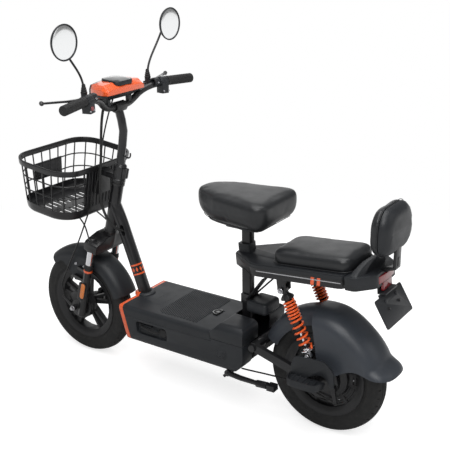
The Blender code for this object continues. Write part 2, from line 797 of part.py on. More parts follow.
def stem():
    """Lock ring, clamp and the bent upright that ends in the handlebar's clamp. Steering coordinates."""
    axis = SPOTS["steering"].inverted()
    ring = turned([(0, HEAD_TOP + GAP), (0.0235, HEAD_TOP + GAP), (0.0235, HEAD_TOP + LOCK_RING_T - 0.002),
                   (0.0215, HEAD_TOP + LOCK_RING_T), (CLAMP_R, HEAD_TOP + LOCK_RING_T), (CLAMP_R, CLAMP_TOP),
                   (STEM_R, CLAMP_TOP + 0.006), (0, CLAMP_TOP + 0.006)], 10)
    ears = block((0.016, 0.030), (-0.009, 0.009), (HEAD_TOP + LOCK_RING_T + 0.006, CLAMP_TOP - 0.004))
    top = axis @ Vector(BAR_CENTRE)
    path = smooth_path([(0, 0, CLAMP_TOP - 0.005), (-0.001, 0, CLAMP_TOP + 0.012), (-0.0042, 0, 0.590),
                        (-0.0106, 0, 0.679), (top.x + 0.004, 0, top.z - 0.016), (top.x, 0, top.z)], 2)
    upright = tube(path, STEM_R, 10)
    clamp = rod(BAR_R + 0.0065, -0.023, 0.023, 10, top, "Y")
    hook = tube(smooth_path([(0.002, 0, 0.600), (0.026, 0, 0.596), (0.033, 0, 0.606), (0.031, 0, 0.616)], 2),
                0.0028, 6)
    bracket = moved(basket_bracket(), axis @ SPOTS["basket_tilt"])
    made = join(upright, ring, bracket, ears, clamp, hook)
    hollow = hole(STEERER_R + GAP, HEAD_TOP - 0.01, CLAMP_TOP - 0.004 + GAP, 10)
    slot = block((0.010, 0.040), (-0.0012, 0.0012), (HEAD_TOP + LOCK_RING_T + 0.004, CLAMP_TOP - 0.002))
    bore = hole(BAR_R + GAP, -0.05, 0.05, 10, top, "Y")
    return cut(made, hollow, slot, bore)


def basket_bracket():
    """The arm and plate that carry the basket, in basket coordinates."""
    wall = BASKET_L / 2 + 0.002
    plate = block((wall + GAP, wall + 0.005), (-0.032, 0.032), (-0.105, -0.022))
    arm = block((wall + 0.003, wall + 0.072), (-0.017, 0.017), (-0.037, -0.019))
    return join(plate, arm)


def basket():
    """A moulded basket: a tapered wall cut into a lattice, a rolled rim, a tray and a solid back."""
    def ring(length, width, z, shrink=0.0):
        radius = BASKET_CORNER - shrink
        return [(a, b, z) for a, b in box_outline(length - 2 * shrink, width - 2 * shrink, radius, steps=2)]

    def shrunk(z, inset):
        t = -z / BASKET_H
        return ring(BASKET_L + (BASKET_BASE_L - BASKET_L) * t, BASKET_W + (BASKET_BASE_W - BASKET_W) * t,
                    z, inset)

    tray = -BASKET_H + BASKET_TRAY_H
    outer = loft([shrunk(-0.001, 0), shrunk(-BASKET_H + 0.012, 0), shrunk(-BASKET_H, 0.010)])
    inner = loft([shrunk(0.01, BASKET_WALL), shrunk(-BASKET_H + 0.012, BASKET_WALL),
                  shrunk(-BASKET_H + BASKET_WALL, 0.012)])
    made = cut(outer, inner)
    windows = []
    rows = 3
    low = tray + BASKET_BAR / 2
    high = -BASKET_RIM_H - 0.002
    step = (high - low) / rows
    for row in range(rows):
        z0 = low + row * step + BASKET_BAR / 2
        z1 = low + (row + 1) * step - BASKET_BAR / 2
        span = BASKET_BASE_L - 2 * BASKET_CORNER + 0.040
        for i in range(3):
            x0 = -span / 2 + span * i / 3 + BASKET_BAR / 2
            x1 = -span / 2 + span * (i + 1) / 3 - BASKET_BAR / 2
            windows.append(block((x0, x1), (-BASKET_W, BASKET_W), (z0, z1)))
        span = BASKET_BASE_W - 2 * BASKET_CORNER + 0.030
        for i in range(5):
            y0 = -span / 2 + span * i / 5 + BASKET_BAR / 2
            y1 = -span / 2 + span * (i + 1) / 5 - BASKET_BAR / 2
            if abs(i - 2) > 0:
                windows.append(block((-BASKET_L, 0), (y0, y1), (z0, z1)))
            if abs(i - 2) > 1:
                windows.append(block((0, BASKET_L), (y0, y1), (z0, z1)))
        for sx in (-1, 1):
            for sy in (-1, 1):
                corner = Vector((sx * (BASKET_BASE_L / 2 - BASKET_CORNER * 0.6),
                                 sy * (BASKET_BASE_W / 2 - BASKET_CORNER * 0.6), 0))
                window = block((0.0, 0.1), (-0.013, 0.013), (z0, z1))
                heading = math.atan2(sy * 1.0, sx * 1.0)
                windows.append(moved(window, Matrix.Translation(corner) @ Matrix.Rotation(heading, 4, "Z")))
    for i in range(5):
        y = -0.088 + 0.044 * i
        for x in (-0.042, 0.042):
            windows.append(block((x - 0.026, x + 0.026), (y - 0.005, y + 0.005),
                                 (-BASKET_H - 0.01, -BASKET_H + 0.008)))
    made = cut(made, *windows)
    lip = BASKET_RIM_OUT
    band = cut(loft([shrunk(0.0, -lip + 0.003), shrunk(-0.003, -lip), shrunk(-BASKET_RIM_H, -lip)]),
               loft([shrunk(0.01, BASKET_WALL / 2), shrunk(-0.003, BASKET_WALL / 2),
                     shrunk(-BASKET_RIM_H - 0.01, BASKET_WALL / 2)]))
    boss = block((BASKET_BASE_L / 2 - 0.001, BASKET_L / 2 + 0.002), (-0.034, 0.034), (-0.108, -0.022))
    return join(made, band, boss)


def beam(start, end, width, height, lean=(0.0, 1.0, 0.0)):
    """A square bar from one place to another. Its width lies along lean."""
    a = Vector(start)
    b = Vector(end)
    way = (b - a).normalized()
    flat = Vector(lean)
    flat = (flat - way * flat.dot(way)).normalized() * width / 2
    tall = way.cross(flat).normalized() * height / 2
    return loft([[p - flat - tall, p + flat - tall, p + flat + tall, p - flat + tall] for p in (a, b)])


def face_x(z):
    """X of the deck's leaning front face at a height."""
    return DECK_FRONT_LOW + (DECK_FRONT_TOP - DECK_FRONT_LOW) * (z - DECK_LOW) / (DECK_TOP - DECK_LOW)


def deck_half(z):
    """Half the deck's width at a height."""
    return DECK_HALF_LOW + (DECK_HALF_TOP - DECK_HALF_LOW) * (z - DECK_LOW) / (DECK_TOP - DECK_LOW)


def deck_block(top, edge, inset=0.0, front=0.0):
    """The deck's outer form: its side view and its cross-section, both extruded, and what they share."""
    back = DECK_BACK - inset
    low = DECK_LOW + inset
    roof = HUMP_TOP - inset
    floor_top = DECK_TOP - inset
    hump = SEAM_X + (inset if inset else 0.0)
    slope = Vector((face_x(low) + front, low)), Vector((face_x(floor_top) + front, floor_top))
    side = [(*slope[0], 0.008), (back - 0.010, low, 0.056), (back, roof, 0.018),
            (hump + HUMP_RAMP, roof, 0.014), (hump, floor_top), (*slope[1], 0.004)]
    if top <= DECK_TOP:
        side = side[:2] + [(back, floor_top, 0.004), (*slope[1], 0.004)]
    half = 0.2
    length = prism(soften(side, 3), -half, half, "Y")
    crown = top - inset
    wide = deck_half(crown) - inset
    foot = deck_half(low) - inset
    section = soften([(-foot, low, 0.014), (foot, low, 0.014), (wide, crown, edge), (-wide, crown, edge)], 4)
    return common(length, prism(section, 0.0, 1.0, "X"))


def front_slab(depth, ahead=0.2):
    """Everything ahead of a plane that lies behind the deck's leaning face by a depth."""
    low = DECK_LOW - 0.1
    high = DECK_TOP + 0.1
    outline = [(face_x(low) - ahead, low), (face_x(low) + depth, low), (face_x(high) + depth, high),
               (face_x(high) - ahead, high)]
    return prism(outline, -0.3, 0.3, "Y")


def tube_path():
    """The down tube's centre line, from behind the head tube to the floor."""
    return smooth_path([(0.143, 0, 0.590), (0.163, 0, 0.549), TUBE_TOP, TUBE_BEND], 2)[:-1] + [
        Vector(TUBE_BEND), Vector(TUBE_DECK), Vector(TUBE_FOOT)]


def tube_at(z):
    """X of the down tube's centre at a height below its bend."""
    t = (z - TUBE_DECK[2]) / (TUBE_BEND[2] - TUBE_DECK[2])
    return TUBE_DECK[0] + (TUBE_BEND[0] - TUBE_DECK[0]) * t


def tube_hole(clear):
    """The down tube's form with a clearance, to cut what it passes through."""
    drop = (Vector(TUBE_FOOT) - Vector(TUBE_DECK)).normalized() * 0.006
    return tube([(tube_at(0.40), 0, 0.40), (tube_at(0.292), 0, 0.292), Vector(TUBE_FOOT) + drop],
                (TUBE_R + clear) / math.cos(math.pi / 12), 12)


def collar_form():
    """The moulded collar round the down tube's foot, before it is shared out."""
    x = tube_at(DECK_TOP)
    return turned([(0, DECK_TOP - WALL), (0.036, DECK_TOP - WALL), (0.035, DECK_TOP + 0.003),
                   (0.029, DECK_TOP + 0.007), (0, DECK_TOP + 0.007)], 14, (x, 0, 0))


def main_frame():
    """Head tube, down tube, floor rails and the swingarm's pivot, welded together."""
    head = moved(rod(HEAD_R, HEAD_LOW, HEAD_TOP, 12), SPOTS["steering"])
    down = tube(tube_path(), TUBE_R, 12)
    floor_z = DECK_LOW + WALL + GAP
    parts = [down]
    for side in (-1, 1):
        parts.append(block((TUBE_FOOT[0] - 0.002, RAIL_BACK),
                           sorted((side * (RAIL_Y - RAIL_W / 2), side * (RAIL_Y + RAIL_W / 2))),
                           (floor_z, floor_z + RAIL_H)))
        plate = prism(soften([(POST_X - 0.043, floor_z + 0.004), (POST_X + 0.022, floor_z + 0.004, 0.03),
                              (PIVOT_X + 0.012, PIVOT_Z - 0.024, 0.012),
                              (PIVOT_X + 0.014, PIVOT_Z + 0.012, 0.012),
                              (PIVOT_X - 0.012, PIVOT_Z + 0.014, 0.012),
                              (POST_X + 0.017, floor_z + 0.045, 0.02), (POST_X - 0.043, floor_z + RAIL_H)],
                              1),
                      *sorted((side * (RAIL_Y - 0.004), side * (RAIL_Y + 0.003))), "Y")
        parts.append(plate)
    parts.append(block((TUBE_FOOT[0] - 0.002, TUBE_FOOT[0] + 0.024),
                       (-RAIL_Y - RAIL_W / 2, RAIL_Y + RAIL_W / 2),
                       (floor_z, floor_z + RAIL_H + 0.010)))
    parts.append(block((POST_X - 0.026, RAIL_BACK - 0.004), (-RAIL_Y, RAIL_Y), (floor_z, floor_z + RAIL_H)))
    parts.append(rod(PIVOT_TUBE_R, -PIVOT_SPLIT + GAP, PIVOT_SPLIT - GAP, 12, (PIVOT_X, 0, PIVOT_Z), "Y"))
    stop = [rod(0.0232, HEAD_LOW + 0.001, HEAD_LOW + 0.012, 12),
            rod(0.0232, HEAD_TOP - 0.012, HEAD_TOP - 0.001, 12)]
    parts += [moved(ring, SPOTS["steering"]) for ring in stop]
    made = join(head, *parts)
    bore = moved(hole(HEAD_BORE, HEAD_LOW - 0.01, HEAD_TOP + 0.01, 10), SPOTS["steering"])
    pin = hole(PIVOT_BOLT_R + GAP, -0.06, 0.06, 10, (PIVOT_X, 0, PIVOT_Z), "Y")
    slot_x = 0.190
    slot = prism(slot_outline((slot_x + 0.006, 0.484), (slot_x - 0.002, 0.510), 0.0062, 3), -0.05, 0.0, "Y")
    bracket = prism([(STAND_X - 0.020, floor_z + 0.008), (STAND_X + 0.020, floor_z + 0.008),
                     (STAND_X + 0.009, STAND_Z - 0.006), (STAND_X - 0.009, STAND_Z - 0.006)],
                    -RAIL_Y - 0.009, -RAIL_Y - 0.002, "Y")
    boss = rod(0.009, -STAND_Y + 0.0045, -RAIL_Y - 0.002, 10, (STAND_X, 0, STAND_Z), "Y")
    made = join(made, bracket, boss)
    stand = hole(0.0048, -0.2, -RAIL_Y - 0.003, 8, (STAND_X, 0, STAND_Z), "Y")
    return cut(made, bore, pin, slot, stand)


def deck_tray():
    """The lower shell with its charging recess, open to the back for the pivot plates."""
    outer = deck_block(HUMP_TOP, 0.024)
    inner = deck_block(HUMP_TOP, 0.022, WALL, TRIM_W + WALL)
    above = block((0.0, SEAM_X), (-0.2, 0.2), (SEAM_Z - SEAM_GAP / 2, 0.4))
    above_back = block((SEAM_X - 0.001, 0.9), (-0.2, 0.2), (SEAM_BACK_Z - SEAM_GAP / 2, 0.4))
    made = cut(outer, front_slab(TRIM_W + GAP), inner, above, above_back)
    mid_z = (PORT_Z0 + PORT_Z1) / 2
    floor_y = deck_half(mid_z) - PORT_DEPTH
    height = PORT_Z1 - PORT_Z0
    centre_x = (PORT_X0 + PORT_X1) / 2
    liner = prism(box_outline(PORT_X1 - PORT_X0 + 2 * WALL, height + 2 * WALL, 0.012, (centre_x, mid_z)),
                  -floor_y - PORT_DEPTH + 0.004, -floor_y + WALL, "Y")
    recess = prism(box_outline(PORT_X1 - PORT_X0, height, 0.010, (centre_x, mid_z)), -0.2, -floor_y, "Y")
    handle = prism(soften([(PORT_X0 + 0.006, mid_z + 0.004, 0.003), (PORT_X0 + 0.034, mid_z - 0.004, 0.003),
                           (PORT_X0 + 0.060, mid_z + 0.006, 0.003), (PORT_X0 + 0.060, mid_z + 0.012, 0.003),
                           (PORT_X0 + 0.006, mid_z + 0.012, 0.003)], 3),
                   -floor_y - 0.006, -floor_y + 0.001, "Y")
    socket = rod(CAP_R - 0.005, -0.2, -floor_y + 0.0015, 20, (CAP_X, 0, mid_z), "Y")
    opening = RAIL_Y + RAIL_W / 2 + 0.0015
    back = block((POST_X - 0.007, 0.9), (-opening, opening), (DECK_LOW - 0.01, 0.4))
    stand = block((STAND_X - 0.021, STAND_X + 0.021), (-RAIL_Y - 0.010, -RAIL_Y - 0.001),
                  (0.1, DECK_LOW + 0.02))
    made = join(made, liner)
    made = cut(made, recess, socket, back, stand, tube_hole(GAP))
    return join(made, handle)


def deck_lid():
    """The lift-off lid over the battery, with its ribbed pad, hatch lines and the collar's back half."""
    outer = deck_block(DECK_TOP, DECK_EDGE)
    outer = cut(join(outer, collar_form()), front_slab(TRIM_W + GAP))
    inner = deck_block(DECK_TOP, DECK_EDGE - 0.001, WALL, -0.05)
    below = block((0.0, 0.9), (-0.2, 0.2), (0.0, SEAM_Z + SEAM_GAP / 2))
    behind = block((SEAM_X - SEAM_GAP, 0.9), (-0.2, 0.2), (0.0, 0.5))
    made = cut(outer, inner, below, behind, tube_hole(GAP + 0.0005))
    front_wall = common(cut(deck_block(DECK_TOP, DECK_EDGE), front_slab(TRIM_W + GAP)),
                        front_slab(TRIM_W + WALL),
                        block((0.0, 0.9), (-0.2, 0.2), (SEAM_Z + SEAM_GAP / 2, 0.4)))
    front_wall = cut(front_wall, tube_hole(GAP + 0.0005))
    made = join(made, front_wall)
    grooves = []
    pitch = (PAD_BACK - PAD_FRONT + 2 * PAD_HALF) / (PAD_RIBS + 1)
    for i in range(1, PAD_RIBS + 1):
        start = PAD_FRONT - 2 * PAD_HALF + i * pitch
        near = max(start, PAD_FRONT)
        far = min(start + 2 * PAD_HALF, PAD_BACK)
        if far - near < 0.012:
            continue
        a = (near, PAD_HALF - (near - start), DECK_TOP)
        b = (far, PAD_HALF - (far - start), DECK_TOP)
        grooves.append(beam(a, b, 0.0034, 2 * PAD_GROOVE, (1, 1, 0)))
    for x, half in ((0.326, 0.033), (0.367, 0.041)):
        if x < PAD_FRONT:
            grooves.append(block((x, x + 0.002), (-half, half), (DECK_TOP - PAD_GROOVE, DECK_TOP + 0.001)))
    pocket = prism(half_moon(LATCH_R + 0.001, LATCH_X, LATCH_TRAVEL), DECK_TOP - 0.0016, DECK_TOP + 0.01)
    return cut(made, *grooves, pocket)


def half_moon(radius, x, stretch=0.0):
    """A half disc that bulges to the front, its flat side stretched back."""
    arc = [(x - radius * math.sin(math.pi * k / 8), radius * math.cos(math.pi * k / 8)) for k in range(9)]
    return arc + [(x + 0.006 + stretch, -radius), (x + 0.006 + stretch, radius)]


def lid_latch():
    """The half-moon slide that frees the lid, with a ridge for the finger."""
    plate = prism(half_moon(LATCH_R, LATCH_X), DECK_TOP - 0.0013, DECK_TOP + 0.0008)
    ridge = prism(half_moon(LATCH_R - 0.007, LATCH_X), DECK_TOP - 0.001, DECK_TOP + 0.0035)
    return join(plate, ridge)


def deck_hump():
    """The raised cover behind the lid, open to the back round the seat post."""
    outer = deck_block(HUMP_TOP, 0.024)
    inner = deck_block(HUMP_TOP, 0.022, WALL)
    ahead = block((0.0, SEAM_X), (-0.3, 0.3), (0.0, 0.5))
    below = block((0.0, 0.9), (-0.3, 0.3), (0.0, SEAM_BACK_Z + SEAM_GAP / 2))
    made = cut(outer, inner, ahead, below)
    notch = prism(soften([(POST_SLOT_FRONT, -POST_SLOT_HALF + 0.006, 0.010), (0.9, -POST_SLOT_HALF - 0.006),
                          (0.9, POST_SLOT_HALF + 0.006), (POST_SLOT_FRONT, POST_SLOT_HALF - 0.006, 0.010)],
                          4),
                  0.2, 0.5)
    wall = block((SEAM_X + GAP, SEAM_X + WALL),
                 (-deck_half(SEAM_BACK_Z) + 0.004, deck_half(SEAM_BACK_Z) - 0.004),
                 (SEAM_BACK_Z + SEAM_GAP / 2, DECK_TOP - WALL / 2))
    return cut(join(made, wall), notch)


def front_trim():
    """The orange front cap of the deck, with the collar's front half."""
    body = join(deck_block(DECK_TOP, DECK_EDGE), collar_form())
    body = common(body, front_slab(TRIM_W))
    front_pocket = common(deck_block(DECK_TOP, DECK_EDGE - 0.004, 0.005, -0.05), front_slab(0.005))
    back_pocket = cut(deck_block(DECK_TOP, DECK_EDGE - 0.001, WALL, -0.05), front_slab(0.008))
    return cut(body, front_pocket, back_pocket, tube_hole(GAP))


def battery_pack():
    """The sealed pack on the floor rails, with a lifting strap's recess and its plug's boss."""
    low = DECK_LOW + WALL + GAP + RAIL_H + GAP
    front = TUBE_FOOT[0] + 0.031
    back = SEAM_X - 0.003
    middle = (front + back) / 2
    case = prism(box_outline(back - front, 0.176, 0.012, (middle, 0)), low, low + PACK_H - 0.003)
    lid = prism(box_outline(back - front - 0.006, 0.170, 0.012, (middle, 0)), low + PACK_H - 0.0035,
                low + PACK_H)
    strap = block((middle - 0.050, middle + 0.050), (-0.012, 0.012), (low + PACK_H - 0.002, low + 0.1))
    plug = rod(0.010, back - 0.005, back + 0.009, 14, (0, 0.05, low + 0.03), "X")
    return join(cut(join(case, lid), strap), plug)


def charge_cap():
    """The round cap of the charging socket with its hinge barrel, in the recess."""
    mid_z = (PORT_Z0 + PORT_Z1) / 2
    face = -(deck_half(mid_z) - PORT_DEPTH) - GAP
    disc = turned([(0, face), (CAP_R, face), (CAP_R, face - 0.0035), (CAP_R - 0.0015, face - CAP_T),
                   (0, face - CAP_T)], 16, (CAP_X, 0, mid_z), "Y")
    barrel = rod(0.0022, mid_z - 0.006, mid_z + 0.006, 10, (CAP_X - CAP_R - 0.002, face - 0.0028, 0))
    tab = block((CAP_X - CAP_R - 0.002, CAP_X - CAP_R + 0.003), (face - 0.0038, face - 0.0012),
                (mid_z - 0.005, mid_z + 0.005))
    return join(disc, tab, barrel)


def kickstand():
    """The side stand, folded back along the deck's lower edge."""
    place = (STAND_X, 0, STAND_Z)
    boss = rod(0.011, -STAND_Y - 0.010, -STAND_Y + 0.004, 10, place, "Y")
    path = [(STAND_X, -STAND_Y - 0.006, STAND_Z), (STAND_X + 0.050, -STAND_Y - 0.005, STAND_Z - 0.004),
            (STAND_X + 0.115, -STAND_Y - 0.008, STAND_Z - 0.001),
            (STAND_X + STAND_LEN, -STAND_Y - 0.012, STAND_Z + 0.006)]
    leg = tube(path, [0.0085, 0.0085, 0.0075, 0.0075], 8)
    sleeve = tube([Vector(path[2]).lerp(Vector(path[3]), t) for t in (-0.1, 0.62)], 0.0115, 8)
    foot = beam(Vector(path[3]) - Vector((0.016, 0, 0.002)), Vector(path[3]) + Vector((0.010, 0, -0.001)),
                0.026, 0.018)
    peg = beam((STAND_X + 0.004, -STAND_Y - 0.004, STAND_Z),
               (STAND_X - 0.014, -STAND_Y - 0.006, STAND_Z - 0.014),
               0.009, 0.009)
    pin = rod(0.0045, -STAND_Y + 0.003, -RAIL_Y - 0.004, 8, place, "Y")
    return join(leg, boss, sleeve, foot, peg, pin)


def post_form(clear=0.0, low=0.0, high=1.0):
    """The seat post's section with a clearance, between two heights."""
    return prism(box_outline(POST_L + 2 * clear, POST_W + 2 * clear, 0.005 + clear, (POST_X, 0), 3), low,
                 high)


def rack_ring(inset, low, high):
    """The rack's plan outline, drawn in by an inset and extruded, in rack coordinates."""
    corners = [(RACK_NOSE, -RACK_NOSE_HALF, 0.016), (RACK_SHOULDER, -RACK_HALF, 0.060),
               (RACK_TAIL, -RACK_HALF, RACK_CORNER), (RACK_TAIL, RACK_HALF, RACK_CORNER),
               (RACK_SHOULDER, RACK_HALF, 0.060), (RACK_NOSE, RACK_NOSE_HALF, 0.016)]
    return prism(soften(drawn_in(corners, inset), 3), low, high)


def to_rack(point):
    """A place in scooter coordinates, in rack coordinates."""
    return SPOTS["rack"].inverted() @ Vector(point)


def rear_frame():
    """Seat post, rack rails, braces and shock brackets, welded together. Rack coordinates."""
    world = SPOTS["rack"].inverted()
    floor = DECK_LOW + WALL + GAP + RAIL_H + GAP
    post = moved(post_form(0.0, floor, SEAT_Z - 0.006), world)
    top = moved(prism(box_outline(0.120, 0.080, 0.012, (POST_X, 0)), SEAT_Z - 0.007, SEAT_Z - GAP), world)
    foot = moved(prism(box_outline(0.046, 0.066, 0.006, (POST_X, 0)), floor, floor + 0.006), world)
    rails = cut(rack_ring(0.0, 0.0, RAIL_TALL), rack_ring(RACK_TUBE, -0.1, 0.1))
    shock_x = to_rack((SHOCK_TOP[0], 0, SHOCK_TOP[1]))
    inner = RACK_HALF - RACK_TUBE / 2
    parts = [post, top, foot]
    parts.append(block((-0.008, RACK_SHOULDER + 0.012), (-0.022, 0.022), (0.004, 0.014)))
    parts.append(block((RACK_SHOULDER + 0.010, RACK_SHOULDER + 0.026), (-inner, inner), (0.004, 0.016)))
    parts.append(block((shock_x.x - 0.016, shock_x.x + 0.016), (-inner, inner), (0.004, 0.016)))
    parts.append(block((RACK_TAIL - 0.090, RACK_TAIL - 0.062), (-inner, inner), (0.004, 0.014)))
    for side in (-1, 1):
        y = SHOCK_Y * side
        for near, far in ((0.0125, 0.0165), (-0.0165, -0.0125)):
            cheek = prism(soften([(shock_x.x - 0.015, 0.010), (shock_x.x - 0.013, shock_x.z - 0.010, 0.009),
                                  (shock_x.x + 0.013, shock_x.z - 0.010, 0.009), (shock_x.x + 0.015, 0.010)],
                                  1),
                          *sorted((y + near * side, y + far * side)), "Y")
            parts.append(cheek)
        parts.append(rod(0.004, y - 0.020, y + 0.020, 8, (shock_x.x, 0, shock_x.z), "Y"))
        brace = moved(beam((POST_X + 0.014, 0.018 * side, 0.372), (POST_X + 0.116, 0.090 * side, 0.488),
                           0.020, 0.005,
                           (1, 0, 1)), world)
        parts.append(brace)
        parts.append(moved(block((POST_X - 0.012, POST_X + 0.022), sorted((0.010 * side, 0.024 * side)),
                                 (0.355, 0.385)), world))
    parts.append(block((RACK_TAIL + 0.001, RACK_TAIL + 0.050), (-0.040, 0.040),
                       (TONGUE_TOP - 0.006, TONGUE_TOP)))
    parts.append(block((RACK_TAIL + 0.001, RACK_TAIL + 0.012), (-0.040, 0.040), (0.006, TONGUE_TOP - 0.001)))
    parts.append(block((RACK_TAIL - 0.004, RACK_TAIL + 0.012), (-0.040, 0.040), (0.006, RAIL_TALL - 0.002)))
    return join(rails, *parts)


def rack_cover():
    """The moulded cover over the rails, with the collar round the post."""
    low = RAIL_TALL + GAP
    high = low + COVER_T
    made = rack_ring(0.0, low, high - 0.003)
    edge = rack_ring(0.003, low + 0.002, high)
    under = rack_ring(0.006, low - 0.01, high - WALL)
    collar = prism(box_outline(POST_L + 0.010, POST_W + 0.016, 0.008, (0.001, 0)), high - WALL,
                   high + COLLAR_TALL)
    made = cut(join(made, edge), under)
    made = join(made, collar)
    hole = moved(post_form(GAP), SPOTS["rack"].inverted())
    return cut(made, hole)


def cushion(length, width, corners, height, place, levels, nose=0.0):
    """A cushion with drawn-in sides: rings of round-cornered outlines that swell and close.

    The corners are the radii at the front and at the back. A level is a share of the height with
    how far the outline is drawn in there. nose narrows the front by a share of the width. The place
    is the middle of the underside.
    """
    crown = 0.004
    rings = []
    a, b = length / 2, width / 2
    plan = [(-a, -b, corners[0]), (a, -b, corners[1]), (a, b, corners[1]), (-a, b, corners[0])]
    for share, inset in levels:
        outline = soften(drawn_in(plan, inset), 4)
        rise = height * share
        ring = []
        for a, b in outline:
            narrow = 1.0 - nose * ease(-a / length, -0.25, 0.5)
            ring.append((place[0] + a, place[1] + b * narrow, place[2] + rise))
        rings.append(ring)
    top = rings[-1]
    for shrink, lift in ((0.55, 0.8),):
        rings.append([(place[0] + (x - place[0]) * shrink, place[1] + (y - place[1]) * shrink,
                       z + crown * lift)
                      for x, y, z in top])
    return loft(rings)


def seat_pan():
    """The moulded base under the front saddle."""
    middle = (SEAT_FRONT + SEAT_BACK) / 2
    length = SEAT_BACK - SEAT_FRONT - 2 * SEAT_PAN_IN
    width = 2 * SEAT_HALF - 2 * SEAT_PAN_IN
    rings = []
    for z, inset in ((0.0, 0.012), (0.004, 0.003), (SEAT_PAN_T, 0.0)):
        ring = []
        for a, b in box_outline(length - 2 * inset, width - 2 * inset, 0.034, steps=4):
            narrow = 1.0 - SEAT_NOSE * ease(-a / length, -0.25, 0.5)
            ring.append((middle + a, b * narrow, SEAT_Z + z))
        rings.append(ring)
    return loft(rings)


def seat_cushion():
    """The saddle's cushion."""
    middle = (SEAT_FRONT + SEAT_BACK) / 2
    levels = [(0.0, SEAT_PAN_IN - 0.004), (0.10, 0.024), (0.24, 0.011), (0.42, 0.003), (0.62, 0.0),
              (0.80, 0.003),
              (0.93, 0.011), (1.0, 0.024)]
    return cushion(SEAT_BACK - SEAT_FRONT, 2 * SEAT_HALF, (0.105, 0.052), SEAT_H,
                   (middle, 0, SEAT_Z + SEAT_PAN_T + GAP), levels, SEAT_NOSE)


def passenger_cushion():
    """The rack's cushion, in rack coordinates."""
    levels = [(0.0, 0.007), (0.12, 0.001), (0.36, 0.0), (0.60, 0.0015), (0.78, 0.005), (0.92, 0.012),
              (1.0, 0.026)]
    return cushion(CUSHION_BACK - CUSHION_FRONT, 2 * CUSHION_HALF, (0.042, 0.036), CUSHION_H,
                   ((CUSHION_FRONT + CUSHION_BACK) / 2, 0, RAIL_TALL + COVER_T + 2 * GAP), levels)


def tail_cover():
    """The end cap behind the rack, swept up behind the cushion. Rack coordinates."""
    start = RACK_TAIL + GAP
    reach = 0.078
    half = RACK_HALF + 0.004
    plan = soften([(start, -RACK_HALF), (start + 0.030, -half, 0.02), (start + reach, -0.062, 0.03),
                   (start + reach, 0.062, 0.03), (start + 0.030, half, 0.02), (start, RACK_HALF)], 3)
    base = prism(plan, 0.0, RAIL_TALL + COVER_T + GAP)
    hollow = prism(soften([(start - 0.01, -RACK_HALF + 0.004), (start + 0.028, -RACK_HALF + 0.002, 0.02),
                           (start + reach - 0.022, -0.056, 0.02), (start + reach - 0.022, 0.056, 0.02),
                           (start + 0.028, RACK_HALF - 0.002, 0.02), (start - 0.01, RACK_HALF - 0.004)], 3),
                   -0.01, RAIL_TALL + COVER_T - WALL)
    low = RAIL_TALL + COVER_T - 0.004
    rings = []
    for t in (0.0, 0.2, 0.4, 0.6, 0.8, 1.0):
        x = start + 0.010 + 0.048 * t * (0.6 + 0.4 * t)
        wide = (0.100 - 0.016 * t) * (1 - t) + 0.034 * t
        deep = 0.034 * (1 - t) + 0.016 * t
        z = low + 0.050 * (1 - (1 - t) ** 1.5)
        rings.append([(x, -wide, z), (x + deep * 0.6, -wide, z), (x + deep, -wide * 0.7, z),
                      (x + deep, wide * 0.7, z),
                      (x + deep * 0.6, wide, z), (x, wide, z), (x + 0.003, wide * 0.5, z),
                      (x + 0.003, -wide * 0.5, z)])
    wall = loft(rings)
    made = join(cut(base, hollow), wall)
    strap = moved(strap_form(GAP), SPOTS["rack"].inverted())
    return cut(made, tail_light_form(GAP), strap)


def tail_light_form(clear):
    """The tail light's strip round the tail's end and its box over the plate, in rack coordinates."""
    back = RACK_TAIL + GAP + 0.078
    half = 0.070 + 3 * clear
    plan = [(back - 0.018 - clear, -half), (back + 0.001 + clear, -half + 0.022),
            (back + 0.005 + clear, -0.02),
            (back + 0.005 + clear, 0.02), (back + 0.001 + clear, half - 0.022), (back - 0.018 - clear, half)]
    strip = prism(plan, 0.008 - clear, 0.030 + clear)
    box = block((back - 0.006 - clear, back + 0.003 + clear), (-0.028 - clear, 0.028 + clear),
                (-0.018 - clear, 0.010))
    return join(strip, box)


def tail_light():
    """The red strip with the small box that lights the plate."""
    return tail_light_form(0.0)


def strap_form(clear):
    """The backrest's bent strip: flat on the rack's tongue, rising behind the tail and then upright."""
    rack = SPOTS["rack"]
    half = STRAP_T / 2 + clear
    under = TONGUE_TOP + GAP
    near = RACK_TAIL + 0.020 - clear
    far = RACK_TAIL + 0.068
    over = under + 0.006 + clear
    low = [rack @ Vector((x, 0, under - clear)) for x in (near, far)]
    high = [rack @ Vector((x, 0, over)) for x in (far - 0.004, near)]
    outline = [(low[0].x, low[0].z), (low[1].x, low[1].z), (STRAP_X + half, 0.572 - clear),
               (STRAP_X + half, 0.735 + clear),
               (STRAP_X - half, 0.735 + clear), (STRAP_X - half, 0.577 + clear), (high[0].x, high[0].z),
               (high[1].x, high[1].z)]
    return prism(outline, -STRAP_W / 2 - clear, STRAP_W / 2 + clear, "Y")


def backrest_strap():
    """The bent strip that holds the backrest, with a pressed rib."""
    rib = block((STRAP_X + STRAP_T / 2 - 0.002, STRAP_X + STRAP_T / 2 + 0.002), (-0.005, 0.005),
                (0.580, 0.606))
    return join(strap_form(0.0), rib)


